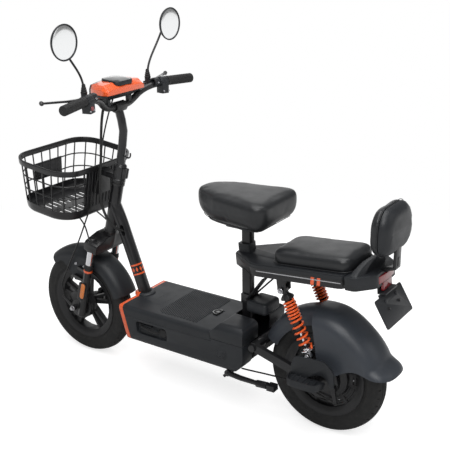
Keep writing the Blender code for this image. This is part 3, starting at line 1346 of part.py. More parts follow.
def backrest_form(x0, x1, grow0, grow1, belly, steps=4):
    """A rounded shield between two X planes, wider at its foot, growing or shrinking on the way."""
    mid = (BACKREST_Z0 + BACKREST_Z1) / 2
    tall = BACKREST_Z1 - BACKREST_Z0
    rings = []
    for k in range(steps + 1):
        t = k / steps
        inset = grow0 + (grow1 - grow0) * (1 - math.cos(t * math.pi / 2) if belly else t)
        outline = box_outline(2 * BACKREST_HALF - 2 * inset, tall - 2 * inset, 0.052 - 0.4 * inset, steps=4)
        x = x0 + (x1 - x0) * (math.sin(t * math.pi / 2) if belly else t)
        ring = []
        for y, z in outline:
            taper = 1.0 - 0.10 * (z + tall / 2) / tall
            ring.append((x, y * taper, mid + z))
        rings.append(ring)
    return loft(rings)


def backrest_shell():
    """The hard back of the backrest, hollow round the strap."""
    start = BACKREST_X + GAP / 2
    made = backrest_form(start, start + BACKREST_SHELL_T, 0.002, 0.034, True)
    return cut(made, strap_form(GAP))


def backrest_pad():
    """The padded front of the backrest."""
    start = BACKREST_X - GAP / 2
    return backrest_form(start, start - BACKREST_PAD_T, 0.0, 0.026, True)


def rear_plate():
    """The plain plate on its bracket, hung below the tail."""
    tilt = Matrix.Translation((PLATE_X, 0, PLATE_Z)) @ Matrix.Rotation(-PLATE_TILT, 4, "Y")
    plate = prism(box_outline(PLATE_W, PLATE_H, 0.006, (0, -PLATE_H / 2), 3), 0.0, PLATE_T, "X")
    bolts = [rod(0.006, -0.002, PLATE_T + 0.003, 12, (0, y, -0.018), "X") for y in (-0.034, 0.034)]
    holder = block((-0.004, 0.001), (-0.046, 0.046), (-0.034, 0.006))
    made = moved(join(plate, *bolts, holder), tilt)
    arm = block((RACK_TAIL + 0.066, RACK_TAIL + 0.092), (-0.038, 0.038), (-0.026, -0.021))
    hanger = join(block((RACK_TAIL + 0.064, RACK_TAIL + 0.069), (-0.034, 0.034), (-0.026, -GAP)),
                  block((RACK_TAIL + 0.040, RACK_TAIL + 0.069), (-0.034, 0.034), (-0.005, -GAP)))
    return join(made, moved(join(arm, hanger), SPOTS["rack"]))


def controller():
    """The motor controller behind the seat post, finned on top."""
    x0, x1 = POST_X + 0.033, POST_X + 0.092
    low, high = 0.335, 0.369
    case = prism(box_outline(x1 - x0, 0.088, 0.006, ((x0 + x1) / 2, 0)), low, high)
    fins = [block((x0 + 0.008 + 0.010 * i, x0 + 0.012 + 0.010 * i), (-0.040, 0.040),
                  (high - 0.001, high + 0.006))
            for i in range(5)]
    arm = block((POST_X + POST_L / 2 + GAP, x0 + 0.002), (-0.010, 0.010), (low + 0.006, low + 0.030))
    return join(case, *fins, arm)


def swingarm():
    """Two arms on sleeves, the rear axle and the drum brake's plate, with the pivot bolt."""
    parts = []
    for side in (-1, 1):
        y0, y1 = sorted((side * (ARM_Y - ARM_W / 2), side * (ARM_Y + ARM_W / 2)))
        sleeve = pipe(PIVOT_TUBE_R, PIVOT_BOLT_R - 0.001, *sorted((side * PIVOT_SPLIT, side * PIVOT_HALF)),
                      10,
                      (PIVOT_X, 0, PIVOT_Z), "Y")
        knee = (WHEELBASE - 0.083, 0.224)
        arm = prism(soften([(PIVOT_X, PIVOT_Z - 0.013), (knee[0], knee[1] - 0.014, 0.05),
                            (WHEELBASE + 0.022, AXLE_Z - 0.020, 0.016),
                            (WHEELBASE + 0.024, AXLE_Z + 0.018, 0.016),
                            (WHEELBASE - 0.030, AXLE_Z + 0.024, 0.02),
                            (knee[0] + 0.004, knee[1] + 0.013, 0.05),
                            (PIVOT_X, PIVOT_Z + 0.013)], 2), y0, y1, "Y")
        tower = prism(soften([(SHOCK_EYE[0] - 0.026, AXLE_Z + 0.010), (SHOCK_EYE[0] + 0.026, AXLE_Z + 0.006),
                              (SHOCK_EYE[0] + 0.013, SHOCK_EYE[1] + 0.004, 0.012),
                              (SHOCK_EYE[0] - 0.012, SHOCK_EYE[1] + 0.012, 0.011)], 1),
                      *sorted((side * (SHOCK_Y + 0.0125), side * (SHOCK_Y + 0.0165))), "Y")
        lug = prism(soften([(SHOCK_EYE[0] - 0.026, AXLE_Z + 0.010), (SHOCK_EYE[0] + 0.026, AXLE_Z + 0.006),
                            (SHOCK_EYE[0] + 0.013, SHOCK_EYE[1] + 0.004, 0.012),
                            (SHOCK_EYE[0] - 0.012, SHOCK_EYE[1] + 0.012, 0.011)], 1),
                    *sorted((side * (SHOCK_Y - 0.0165), side * (SHOCK_Y - 0.0125))), "Y")
        web = block((SHOCK_EYE[0] - 0.022, SHOCK_EYE[0] + 0.022),
                    sorted((side * (SHOCK_Y - 0.0165), side * ARM_Y)),
                    (AXLE_Z + 0.010, AXLE_Z + 0.022))
        pin = rod(0.004, *sorted((side * (SHOCK_Y - 0.0155), side * (SHOCK_Y + 0.0155))), 8,
                  (SHOCK_EYE[0], 0, SHOCK_EYE[1]), "Y")
        parts += [sleeve, arm, tower, lug, web, pin]
    bolt = turned([(0, -PIVOT_HALF - 0.012), (0.011, -PIVOT_HALF - 0.012), (0.012, -PIVOT_HALF - 0.010),
                   (0.012, -PIVOT_HALF), (PIVOT_BOLT_R, -PIVOT_HALF), (PIVOT_BOLT_R, PIVOT_HALF),
                   (0.012, PIVOT_HALF), (0.012, PIVOT_HALF + 0.010), (0, PIVOT_HALF + 0.010)], 10,
                  (PIVOT_X, 0, PIVOT_Z), "Y")
    axle = turned([(0, -ARM_Y - 0.024), (0.010, -ARM_Y - 0.024), (0.0125, -ARM_Y - 0.021),
                   (0.0125, -HUB_HALF - GAP), (REAR_AXLE_R, -HUB_HALF - GAP),
                   (REAR_AXLE_R, HUB_HALF + GAP), (0.0125, HUB_HALF + GAP),
                   (0.0125, ARM_Y + 0.021), (0.010, ARM_Y + 0.024), (0, ARM_Y + 0.024)], 10,
                  (WHEELBASE, 0, AXLE_Z), "Y")
    plate = turned([(0, -0.060), (0.030, -0.060), (REAR_DRUM_R, -0.056), (REAR_DRUM_R, -HUB_HALF - GAP),
                    (0, -HUB_HALF - GAP)], 14, (WHEELBASE, 0, AXLE_Z), "Y")
    made = join(parts[0], *parts[1:], bolt, axle, plate)
    cam = hole(0.0053, -0.062, -0.052, 10, REAR_CAM, "Y")
    return cut(made, cam)


def rear_fender():
    """The wide mudguard with its narrow nose and flared tail, on the swingarm."""
    centre = (WHEELBASE, 0, AXLE_Z)
    first = math.radians(14)
    last = math.radians(157)
    deep = REAR_FENDER_R - REAR_DRUM_R - 0.0035

    def tail(a):
        closer = 0.012 * (1 - ease(a, math.radians(48), math.radians(85)))
        flare = 0.030 * (1 - ease(a, math.radians(14), math.radians(27)))
        return flare - closer

    def wide_form(shrink, solid):
        return arch(REAR_FENDER_R - shrink, REAR_FENDER_HALF - shrink, first, math.radians(104),
                    lambda a: deep + 4 * shrink, centre, 11, tail, solid, ROUND_CROWN)

    def side_view(points):
        return [(WHEELBASE + x, AXLE_Z + z) for x, z in points]

    nose_r = REAR_FENDER_R - 0.0035
    nose = arch(nose_r, REAR_FENDER_NOSE_HALF, math.radians(76), last, lambda a: 0.052, centre, 9)
    edge = side_view([(-0.032, 0.271), (-0.028, 0.221), (-0.014, 0.167), (0.0, 0.073), (0.018, -0.039)])
    ahead = prism(side_view([(-0.268, 0.271)]) + edge + side_view([(-0.268, -0.039)]), -0.2, 0.2, "Y")
    below = prism(side_view([(-0.068, -0.189), (-0.068, 0.011), (0.017, 0.014), (0.049, 0.027),
                             (0.090, 0.058),
                             (0.125, 0.069), (0.152, 0.063), (0.182, 0.055), (0.332, 0.055),
                             (0.332, -0.189)]),
                  -0.2, 0.2, "Y")
    strip = prism(edge + [(x + WALL, z) for x, z in reversed(edge)], -0.2, 0.2, "Y")
    step = common(wide_form(0.0005, True), strip)
    inside = arch(nose_r - WALL, REAR_FENDER_NOSE_HALF - WALL, first, last, lambda a: 0.2, centre, 9, None,
                  True)
    step = cut(step, inside)
    wide = cut(wide_form(0.0, False), ahead)
    lugs = [block((WHEELBASE + 0.010, WHEELBASE + 0.022),
                  sorted((side * (REAR_FENDER_HALF - 0.002), side * (ARM_Y - ARM_W / 2 - GAP))),
                  (AXLE_Z + 0.015, AXLE_Z + 0.061)) for side in (-1, 1)]
    return join(cut(join(wide, step), below), nose, *lugs)


def footrest(side):
    """The passenger's footrest: a curved guard and a ribbed tread, bolted to the swingarm."""
    near = ARM_Y + ARM_W / 2 + GAP
    front = WHEELBASE - 0.070
    back = WHEELBASE + 0.044
    floor = AXLE_Z + 0.015
    guard = prism(soften([(front + 0.002, floor + 0.036, 0.02), (front + 0.014, floor + 0.072, 0.02),
                          (back - 0.002, floor + 0.078, 0.03), (back + 0.028, floor + 0.051, 0.02),
                          (back + 0.032, floor, 0.006), (back + 0.014, floor, 0.006),
                          (back + 0.010, floor + 0.032, 0.02),
                          (back - 0.027, floor + 0.028, 0.02), (front + 0.032, floor - 0.004, 0.01),
                          (front + 0.002, floor - 0.004)], 2), *sorted((side * near, side * (near + 0.006))),
                          "Y")
    tread = prism(soften([(front, near), (back, near), (back - 0.008, near + 0.048, 0.022),
                          (front + 0.008, near + 0.048, 0.022)], 3), floor, floor + 0.008)
    ribs = [block((front + 0.016 + 0.018 * i, front + 0.022 + 0.018 * i), (near + 0.004, near + 0.040),
                  (floor + 0.007, floor + 0.0105)) for i in range(5)]
    lip = cut(prism(soften([(front, near + 0.006), (back, near + 0.006), (back - 0.008, near + 0.048, 0.022),
                            (front + 0.008, near + 0.048, 0.022)], 3), floor - 0.0075, floor + 0.0145),
              prism(soften([(front - 0.003, near - 0.01), (back + 0.003, near - 0.01),
                            (back - 0.012, near + 0.044, 0.020),
                            (front + 0.012, near + 0.044, 0.020)], 3), floor - 0.03, floor + 0.03))
    plate = join(tread, lip, *ribs)
    if side < 0:
        plate = moved(plate, Matrix.Scale(-1, 4, (0, 1, 0)))
    return join(guard, plate)


def spring_points(low, high):
    """The coil's centre line from its lower seat to its upper one: open turns first, then tight ones.

    Each end runs straight for one wire diameter, square to its seat.
    """
    wire_d = 2 * SPRING_WIRE
    tight = SPRING_TIGHT * SPRING_TIGHT_PITCH
    start = low + wire_d
    end = high - wire_d
    open_pitch = (end - start - tight) / SPRING_OPEN
    turns = SPRING_OPEN + SPRING_TIGHT
    per_turn = 8
    points = [Vector((SPRING_R, 0, low)), Vector((SPRING_R, 0, low + 0.6 * wire_d))]
    z = start
    for i in range(turns * per_turn + 1):
        a = math.tau * i / per_turn
        points.append(Vector((SPRING_R * math.cos(a), SPRING_R * math.sin(a), z)))
        blend = ease(i / per_turn, SPRING_OPEN - 0.5, SPRING_OPEN + 0.5)
        z += (open_pitch * (1 - blend) + SPRING_TIGHT_PITCH * blend) / per_turn
    over = points[-1].z - end
    span = points[-1].z - start
    for point in points[2:]:
        point.z -= over * (point.z - start) / span
    points += [Vector((SPRING_R, 0, high - 0.6 * wire_d)), Vector((SPRING_R, 0, high))]
    return points


def least_gap(points, radius, skip):
    """The least distance between the tube's own surfaces, for points at least skip apart along it."""
    least = 1.0
    for i, a in enumerate(points):
        for b in points[i + skip:]:
            least = min(least, (a - b).length - 2 * radius)
    return least


def shock_frame(side, root):
    """An empty at a shock's top pivot whose Z axis runs up along the shock."""
    top = Vector((SHOCK_TOP[0], SHOCK_Y * side, SHOCK_TOP[1]))
    lean = math.atan2(SHOCK_TOP[0] - SHOCK_EYE[0], SHOCK_TOP[1] - SHOCK_EYE[1])
    return spot("shock_top_" + ("left" if side < 0 else "right"), top, Matrix.Rotation(lean, 3, "Y"), root)


def shock_length():
    """Distance between a shock's two pivots."""
    return math.hypot(SHOCK_TOP[0] - SHOCK_EYE[0], SHOCK_TOP[1] - SHOCK_EYE[1])


def shock_body():
    """The damper's tube with the upper eye and the upper spring seat, Z down from the top pivot."""
    length = shock_length()
    stroke_end = -length + 0.074
    eye = rod(0.0105, -0.0118, 0.0118, 10, (0, 0, 0), "Y")
    tube_part = turned([(0, stroke_end), (SHOCK_BODY_R - 0.001, stroke_end),
                        (SHOCK_BODY_R, stroke_end + 0.003),
                        (SHOCK_BODY_R, SPRING_TOP + 0.001), (0.019, SPRING_TOP + 0.001),
                        (0.021, SPRING_TOP + 0.004),
                        (0.019, SPRING_TOP + 0.010), (0.010, SPRING_TOP + 0.018), (0.009, 0), (0, 0)], 8)
    made = join(tube_part, eye)
    made = cut(made, hole(0.0043, -0.03, 0.03, 8, (0, 0, 0), "Y"))
    return cut(made, hole(SHOCK_ROD_R + GAP, -length, SPRING_TOP + 0.002, 8))


def shock_rod():
    """The chrome rod with the lower eye and the lower spring seat, in top pivot coordinates."""
    length = shock_length()
    low = -length
    seat = low + SPRING_LOW_FROM_EYE
    rod_part = turned([(0, low), (0.008, low), (0.010, seat - 0.012), (0.020, seat - 0.006),
                       (0.021, seat - 0.003),
                       (0.019, seat - GAP), (0.0125, seat - GAP), (0.0125, seat + 0.004),
                       (SHOCK_ROD_R, seat + 0.006),
                       (SHOCK_ROD_R, -length + 0.125), (0, -length + 0.125)], 8)
    eye = rod(0.0105, -0.0118, 0.0118, 10, (0, 0, low), "Y")
    return cut(join(rod_part, eye), hole(0.0047, -0.03, 0.03, 8, (0, 0, low), "Y"))


def shock_spring():
    """The orange coil between both seats, one unbroken tube."""
    low = -shock_length() + SPRING_LOW_FROM_EYE
    points = spring_points(low, SPRING_TOP + 0.001 - GAP)
    print("spring's least gap to itself, mm:", round(1000 * least_gap(points, SPRING_WIRE, 6), 3))
    return wire(points, SPRING_WIRE, 1)


def belly_z(x):
    """Height of the belly's underside."""
    return BELLY_LOW + BELLY_RISE * (x - BELLY_FRONT) / (BELLY_BACK - BELLY_FRONT)


def cowl():
    """The cap over the bar's middle: a lofted shell with a steep back face, and the belly under it."""
    rings = []
    for t, wide, rise in ((0.0, 0.62, 0.50), (0.16, 0.80, 0.84), (0.42, 0.93, 1.0), (0.80, 1.0, 0.97),
                          (1.0, 0.97, 0.55)):
        x = COWL_FRONT + (COWL_BACK - COWL_FRONT) * t
        half = COWL_HALF * wide
        top = COWL_LOW + (COWL_TOP - COWL_LOW) * rise
        rings.append([(x, -half, COWL_LOW), (x, -half * 0.99, (COWL_LOW + top) / 2),
                      (x, -half * 0.92, top - 0.004),
                      (x, -half * 0.5, top), (x, 0, top + 0.002), (x, half * 0.5, top),
                      (x, half * 0.92, top - 0.004),
                      (x, half * 0.99, (COWL_LOW + top) / 2), (x, half, COWL_LOW)])
    shell = loft(rings)
    low = [(BELLY_FRONT, -0.046, BELLY_LOW), (BELLY_FRONT, 0.046, BELLY_LOW),
           (BELLY_BACK, 0.056, belly_z(BELLY_BACK)), (BELLY_BACK, -0.056, belly_z(BELLY_BACK))]
    high = [(COWL_FRONT + 0.004, -0.052, COWL_LOW + 0.001), (COWL_FRONT + 0.004, 0.052, COWL_LOW + 0.001),
            (COWL_BACK - 0.006, COWL_HALF - 0.008, COWL_LOW + 0.001),
            (COWL_BACK - 0.006, 0.008 - COWL_HALF, COWL_LOW + 0.001)]
    belly = loft([low, high])
    saddles = [block((BAR_CENTRE[0] - 0.009, BAR_CENTRE[0] + 0.005),
                     sorted((side * SADDLE_Y, side * (SADDLE_Y + 0.014))),
                     (BAR_CENTRE[2] + 0.004, COWL_LOW)) for side in (-1, 1)]
    bore = tube(bar_path(), (BAR_R + GAP) / math.cos(math.pi / 10), 10)
    return cut(join(shell, belly, *saddles), bore)


def display_form(clear=0.0):
    """The display's rounded pane and housing, sunk in the cowl's top."""
    tilt = Matrix.Translation((DISPLAY_X, 0, COWL_TOP + 0.001)) @ Matrix.Rotation(math.radians(3), 4, "Y")
    low = box_outline(DISPLAY_L + 2 * clear, 2 * DISPLAY_HALF + 2 * clear, 0.018, steps=4)
    high = box_outline(DISPLAY_L - 0.014 + 2 * clear, 2 * DISPLAY_HALF - 0.014 + 2 * clear, 0.016, steps=4)
    pane = loft([[(a, b, -0.010 - clear) for a, b in low], [(a, b, 0.002) for a, b in low],
                 [(a, b, 0.007 + clear) for a, b in high]])
    return moved(pane, tilt)


def lamp_form(clear=0.0):
    """The round lamp with its bezel and its tail, which sits in the cowl's nose."""
    tail = LAMP_R * 0.6 + clear
    front = COWL_FRONT - 0.024
    return turned([(0, front + 0.051 + clear), (tail, front + 0.051 + clear),
                   (tail + 0.002, front + 0.029 + clear),
                   (LAMP_R - 0.001 + clear, front + 0.012 + clear), (LAMP_R + clear, front),
                   (LAMP_R - 0.004 + clear, front), (LAMP_R - 0.006, front + 0.004 - clear),
                   (LAMP_R - 0.019, front + 0.007 - clear), (0, front + 0.008 - clear)], 16, (0, 0, LAMP_Z),
                   "X")


def bar_frame(side, carrier):
    """An empty at the inner end of a grip whose Z axis runs out along the bar."""
    start = Vector(side_of(GRIP_IN, side))
    end = Vector(side_of(GRIP_OUT, side))
    turn = (end - start).to_track_quat("Z", "X").to_matrix()
    name = "bar_" + ("left" if side < 0 else "right")
    return spot(name, SPOTS[carrier.name].inverted() @ start,
                (SPOTS[carrier.name].inverted().to_3x3() @ turn), carrier)


def control_box(side, bar):
    """A switch box clamped on the bar, hanging below it, with the lever's perch. Scooter coordinates."""
    along = SPOTS[bar.name]
    ring = moved(rod(0.0165, -0.034, -0.0012, 10), along)
    a = along @ Vector((0, 0, -0.031))
    b = along @ Vector((0, 0, -0.004))
    hang = beam(a + Vector((0.003, 0, -0.020)), b + Vector((0.003, 0, -0.020)), 0.030, 0.036, (1, 0, 0))
    perch = moved(rod(0.0155, -0.057, -0.038, 10), along)
    c = along @ Vector((0, 0, -0.048))
    arm = beam(c + Vector((0.004, 0, 0.0)), c + Vector((-0.040, -0.004 * side, -0.004)), 0.020, 0.012,
               (0, 1, 0))
    foot = Vector(side_of(MIRROR_FOOT, side))
    boss = rod(0.010, foot.z - 0.016, foot.z - GAP, 8, (foot.x, foot.y, 0))
    neck = beam((foot.x - 0.004, foot.y, foot.z - 0.010), (c.x, c.y, foot.z - 0.010), 0.014, 0.012, (0, 1, 0))
    strip = moved(rod(0.0125, -0.044, -0.030, 10), along)
    made = join(ring, hang, perch, arm, boss, neck, strip)
    pivot = Vector(lever_pivot(side))
    bore = tube(bar_path(), (BAR_R + GAP) / math.cos(math.pi / 10), 10)
    slot = block((pivot.x - 0.030, pivot.x + 0.0085), (pivot.y - 0.030, pivot.y + 0.030),
                 (pivot.z - LEVER_T / 2 - GAP, pivot.z + LEVER_T / 2 + GAP + LEVER_RISE / 10))
    made = cut(made, bore, slot)
    if side < 0:
        made = cut(made,
                   moved(hole(BUTTON_R + GAP, BUTTON_FACE - 0.008, BUTTON_FACE + 0.02, 12, (0, 0, 0), "X"),
                               Matrix.Translation(button_centre())))
    pin = rod(0.0026, pivot.z - 0.006, pivot.z + 0.006, 8, (pivot.x, pivot.y, 0))
    return join(made, pin)


def button_centre():
    """The middle of the left switch box, at the height of its button."""
    return SPOTS["bar_left"] @ Vector((0, 0, -0.0175)) + Vector((0.003, 0, -0.023))


def horn_button():
    """The horn's push button, standing proud of the left switch box's rear face."""
    head = turned([(0, BUTTON_FACE - 0.006), (BUTTON_R, BUTTON_FACE - 0.006), (BUTTON_R, BUTTON_FACE + 0.002),
                   (BUTTON_R * 0.8, BUTTON_FACE + 0.003), (0, BUTTON_FACE + 0.003)], 12, (0, 0, 0), "X")
    return moved(head, Matrix.Translation(button_centre()))


def lever_pivot(side):
    """Where a brake lever turns, ahead of the bar."""
    return side_of((0.190, 0.150, 0.966), side)


def brake_lever(side):
    """A bent blade with a ball tip, turning about an upright pin."""
    px, py, pz = lever_pivot(1)
    path = [(px - 0.004, py - 0.010), (px - 0.008, py + 0.016), (px - 0.014, py + 0.050),
            (px - 0.026, py + 0.090),
            (px - 0.040, py + LEVER_L)]
    centre = smooth_path([(x, y, 0) for x, y in path], 2)
    left = []
    right = []
    for i, p in enumerate(centre):
        way = (centre[min(i + 1, len(centre) - 1)] - centre[max(i - 1, 0)]).normalized()
        flat = Vector((-way.y, way.x, 0))
        half = 0.008 - 0.0035 * i / (len(centre) - 1)
        left.append((p.x + flat.x * half, p.y + flat.y * half))
        right.append((p.x - flat.x * half, p.y - flat.y * half))
    blade = prism(left + right[::-1], pz - LEVER_T / 2, pz + LEVER_T / 2)
    tip = centre[-1]
    ball = turned([(0, -0.008), (0.0055, -0.0055), (0.0078, 0), (0.0055, 0.0055), (0, 0.008)], 10,
                  (tip.x, tip.y, pz))
    hub = rod(0.0075, pz - LEVER_T / 2, pz + LEVER_T / 2, 12, (px, py, 0))
    made = cut(join(blade, ball, hub), hole(0.0026 + GAP, pz - 0.02, pz + 0.02, 8, (px, py, 0)))
    for v in made.data.vertices:
        v.co.z += LEVER_RISE * max(0.0, v.co.y - py - 0.036) / LEVER_L
    if side < 0:
        made = moved(made, Matrix.Scale(-1, 4, (0, 1, 0)))
    return made


def mirror_stem(side):
    """A mirror's rubber boot and its bent arm."""
    foot = Vector(side_of(MIRROR_FOOT, side))
    knee = Vector(side_of(MIRROR_KNEE, side))
    shoulder = Vector(side_of(MIRROR_SHOULDER, side))
    centre = Vector(side_of(MIRROR_CENTRE, side)) - Vector((MIRROR_BALL, 0, 0))
    boot = turned([(0, foot.z), (0.0105, foot.z), (0.0105, foot.z + 0.005), (0.009, foot.z + 0.012),
                   (0.006, foot.z + 0.024), (0, foot.z + 0.024)], 8, (foot.x, foot.y, 0))
    end = shoulder.lerp(centre, 0.93)
    arm = tube(smooth_path([foot + Vector((0, 0, 0.004)), foot.lerp(knee, 0.75), knee + Vector((0, 0, 0.004)),
                            knee.lerp(shoulder, 0.5), shoulder, end], 2), MIRROR_ARM_R, 6)
    return join(boot, arm)


def mirror_head(side):
    """The round mirror: a domed shell with its glass in front, and the socket behind it."""
    c = Vector(side_of(MIRROR_CENTRE, side))
    head = turned([(0, -0.003), (MIRROR_R - 0.004, -0.003), (MIRROR_R - 0.003, 0), (MIRROR_R, -0.001),
                   (MIRROR_R - 0.003, -0.009), (MIRROR_R * 0.66, -0.017), (0, -MIRROR_DEPTH)], 18, c, "X")
    shoulder = Vector(side_of(MIRROR_SHOULDER, side))
    centre = c - Vector((MIRROR_BALL, 0, 0))
    boss = rod(0.0085, -MIRROR_BALL - 0.006, -MIRROR_DEPTH + 0.004, 8, c, "X")
    way = (centre - shoulder).normalized()
    near = shoulder.lerp(centre, 0.88)
    socket = tube([near, near + way * 0.012], 0.0085, 8)
    sweep = MIRROR_BALL * 0.3 * math.sin(MIRROR_TILT)
    socket_bore = tube([near - way * 0.014, shoulder.lerp(centre, 0.93) + way * 0.0015],
                       (MIRROR_ARM_R + sweep + GAP) / math.cos(math.pi / 10), 10)
    return cut(join(head, boss, socket), socket_bore)


def handed(side):
    """The name's ending for a side."""
    return "left" if side < 0 else "right"


def build():
    """Make every piece and hang it on the empty that carries it."""
    for old in list(bpy.data.objects):
        bpy.data.objects.remove(old, do_unlink=True)
    black = paint("matte_black", (0.020, 0.021, 0.023), 0.55)
    frame_black = paint("frame_black", (0.014, 0.014, 0.015), 0.38, 0.4)
    rubber = paint("rubber", (0.018, 0.018, 0.018), 0.85)
    cast = paint("cast_black", (0.012, 0.012, 0.013), 0.42, 0.3)
    orange = paint("orange", (0.90, 0.16, 0.03), 0.38)
    chrome = paint("chrome", (0.80, 0.80, 0.82), 0.12, 1.0)
    leather = paint("seat_cover", (0.018, 0.019, 0.021), 0.50)
    glass = paint("dark_pane", (0.03, 0.035, 0.035), 0.12)
    lens = paint("red_lens", (0.30, 0.01, 0.015), 0.20)
    clear = paint("lamp_lens", (0.75, 0.78, 0.80), 0.15)
    mirror = paint("mirror_glass", (0.85, 0.87, 0.88), 0.05, 1.0)

    root = spot("scooter", (0, 0, 0))
    steer_x = AXLE_LEAD * math.cos(RAKE)
    steering = spot("steering", (steer_x, 0, AXLE_Z - AXLE_LEAD * math.sin(RAKE)),
                    Matrix.Rotation(RAKE, 3, "Y"), root)
    lowers = spot("fork_slide", (-AXLE_LEAD, 0, 0), None, steering)
    front_axle = spot("front_axle", (0, 0, 0), Matrix.Rotation(-RAKE, 3, "Y"), lowers)
    swing = spot("swingarm_pivot", (PIVOT_X, 0, PIVOT_Z), None, root)
    rear_axle = spot("rear_axle", (WHEELBASE - PIVOT_X, 0, AXLE_Z - PIVOT_Z), None, swing)
    rack = spot("rack", (POST_X, 0, RACK_Z), Matrix.Rotation(-RACK_TILT, 3, "Y"), root)
    here = SPOTS["steering"].inverted()
    basket_spot = spot("basket_tilt", here @ Vector((BASKET_X, 0, BASKET_Z)),
                       Matrix.Rotation(BASKET_TILT - RAKE, 3, "Y"), steering)

    front_centre = (0, 0, AXLE_Z)
    rear_centre = (WHEELBASE, 0, AXLE_Z)
    fit(tyre(front_centre), "front_tyre", front_axle, rubber)
    fit(front_wheel(front_centre), "front_wheel", front_axle, cast)
    fit(tyre(rear_centre), "rear_tyre", rear_axle, rubber)
    fit(rear_wheel(rear_centre), "rear_wheel", rear_axle, cast)

    fit(fork_crown(), "fork_crown", steering, frame_black, steering)
    fit(fork_lowers(), "fork_lowers", lowers, frame_black, steering)
    fit(front_fender(), "front_fender", lowers, black, steering, 50)
    cam = spot("front_brake_cam", Vector(FRONT_CAM) - Vector((-AXLE_LEAD, 0, 0)), None, lowers)
    front_tip = (FRONT_CAM[0] - 0.042, FRONT_CAM[2] + 0.018)
    fit(brake_arm((FRONT_CAM[0], FRONT_CAM[2]), front_tip, -0.0590, -0.0530, -0.0475), "front_brake_arm", cam,
        cast,
        steering)
    fit(stem(), "stem", steering, frame_black, steering)
    fit(basket(), "basket", basket_spot, black, basket_spot)
    fit(handlebar(), "handlebar", steering, frame_black)
    body = cowl()
    body = cut(body, display_form(GAP), lamp_form(GAP))
    fit(body, "cowl", steering, orange)
    fit(display_form(), "display", steering, glass)
    fit(lamp_form(), "headlight", steering, clear)

    for side in (-1, 1):
        bar = bar_frame(side, steering)
        grip_name = "grip_left" if side < 0 else "throttle_grip"
        fit(grip_shape(GRIP_R + 0.003 + (0.002 if side > 0 else 0.0)), grip_name, bar, rubber, bar)
        fit(control_box(side, bar), "control_box_" + handed(side), steering, black)
        if side < 0:
            press = spot("horn_press", here @ button_centre(), Matrix.Rotation(-RAKE, 3, "Y"), steering)
            fit(horn_button(), "horn_button", press, lens)
        lever_spot = spot("lever_pivot_" + handed(side), here @ Vector(lever_pivot(side)),
                          Matrix.Rotation(-RAKE, 3, "Y"), steering)
        fit(brake_lever(side), "brake_lever_" + handed(side), lever_spot, cast)
        foot = spot("mirror_foot_" + handed(side), here @ Vector(side_of(MIRROR_FOOT, side)),
                    Matrix.Rotation(-RAKE, 3, "Y"), steering)
        fit(mirror_stem(side), "mirror_stem_" + handed(side), foot, black)
        centre = spot("mirror_ball_" + handed(side),
                      SPOTS[foot.name].inverted() @ (Vector(side_of(MIRROR_CENTRE,
                                                                    side)) - Vector((MIRROR_BALL, 0, 0))),
                      None, foot)
        fit(mirror_head(side), "mirror_head_" + handed(side), centre, mirror)
        shock = shock_frame(side, root)
        fit(shock_body(), "shock_body_" + handed(side), shock, frame_black, shock)
        fit(shock_rod(), "shock_rod_" + handed(side), shock, chrome, shock)
        spring = shock_spring()
        spring.data.transform(SPOTS[shock.name])
        hang_wire(spring, "shock_spring_" + handed(side), shock, orange)
        fit(footrest(side), "footrest_" + handed(side), swing, black)

    fit(main_frame(), "main_frame", root, frame_black)
    fit(rear_frame(), "rear_frame", rack, frame_black, rack)
    fit(deck_tray(), "deck_tray", root, black)
    fit(deck_lid(), "deck_lid", root, black)
    fit(lid_latch(), "lid_latch", root, black)
    fit(deck_hump(), "deck_hump", root, black)
    fit(front_trim(), "front_trim", root, orange)
    fit(battery_pack(), "battery_pack", root, cast)
    mid_z = (PORT_Z0 + PORT_Z1) / 2
    hinge = spot("cap_hinge", (CAP_X - CAP_R - 0.002, -(deck_half(mid_z) - PORT_DEPTH) - GAP - 0.0028, mid_z),
                 None, root)
    fit(charge_cap(), "charge_cap", hinge, rubber)
    stand = spot("stand_pivot", (STAND_X, -STAND_Y, STAND_Z), None, root)
    fit(kickstand(), "kickstand", stand, frame_black)
    fit(controller(), "controller", root, cast)
    fit(seat_pan(), "seat_pan", root, black)
    fit(seat_cushion(), "seat_cushion", root, leather, None, 60)
    fit(rack_cover(), "rack_cover", rack, black, rack)
    fit(passenger_cushion(), "passenger_cushion", rack, leather, rack, 60)
    fit(tail_cover(), "tail_cover", rack, black, rack)
    fit(tail_light(), "tail_light", rack, lens, rack)
    fit(backrest_strap(), "backrest_strap", root, frame_black)
    fit(backrest_shell(), "backrest_shell", root, black)
    fit(backrest_pad(), "backrest_pad", root, leather)
    fit(rear_plate(), "rear_plate", root, black)
    fit(swingarm(), "swingarm", swing, frame_black)
    fit(rear_fender(), "rear_fender", swing, black, None, 50)
    rear_cam = spot("rear_brake_cam", SPOTS["swingarm_pivot"].inverted() @ Vector(REAR_CAM), None, swing)
    rear_tip = (REAR_CAM[0] + 0.011, REAR_CAM[2] - 0.046)
    fit(brake_arm((REAR_CAM[0], REAR_CAM[2]), rear_tip, -0.0665, -0.0605, -0.053), "rear_brake_arm", rear_cam,
        cast)

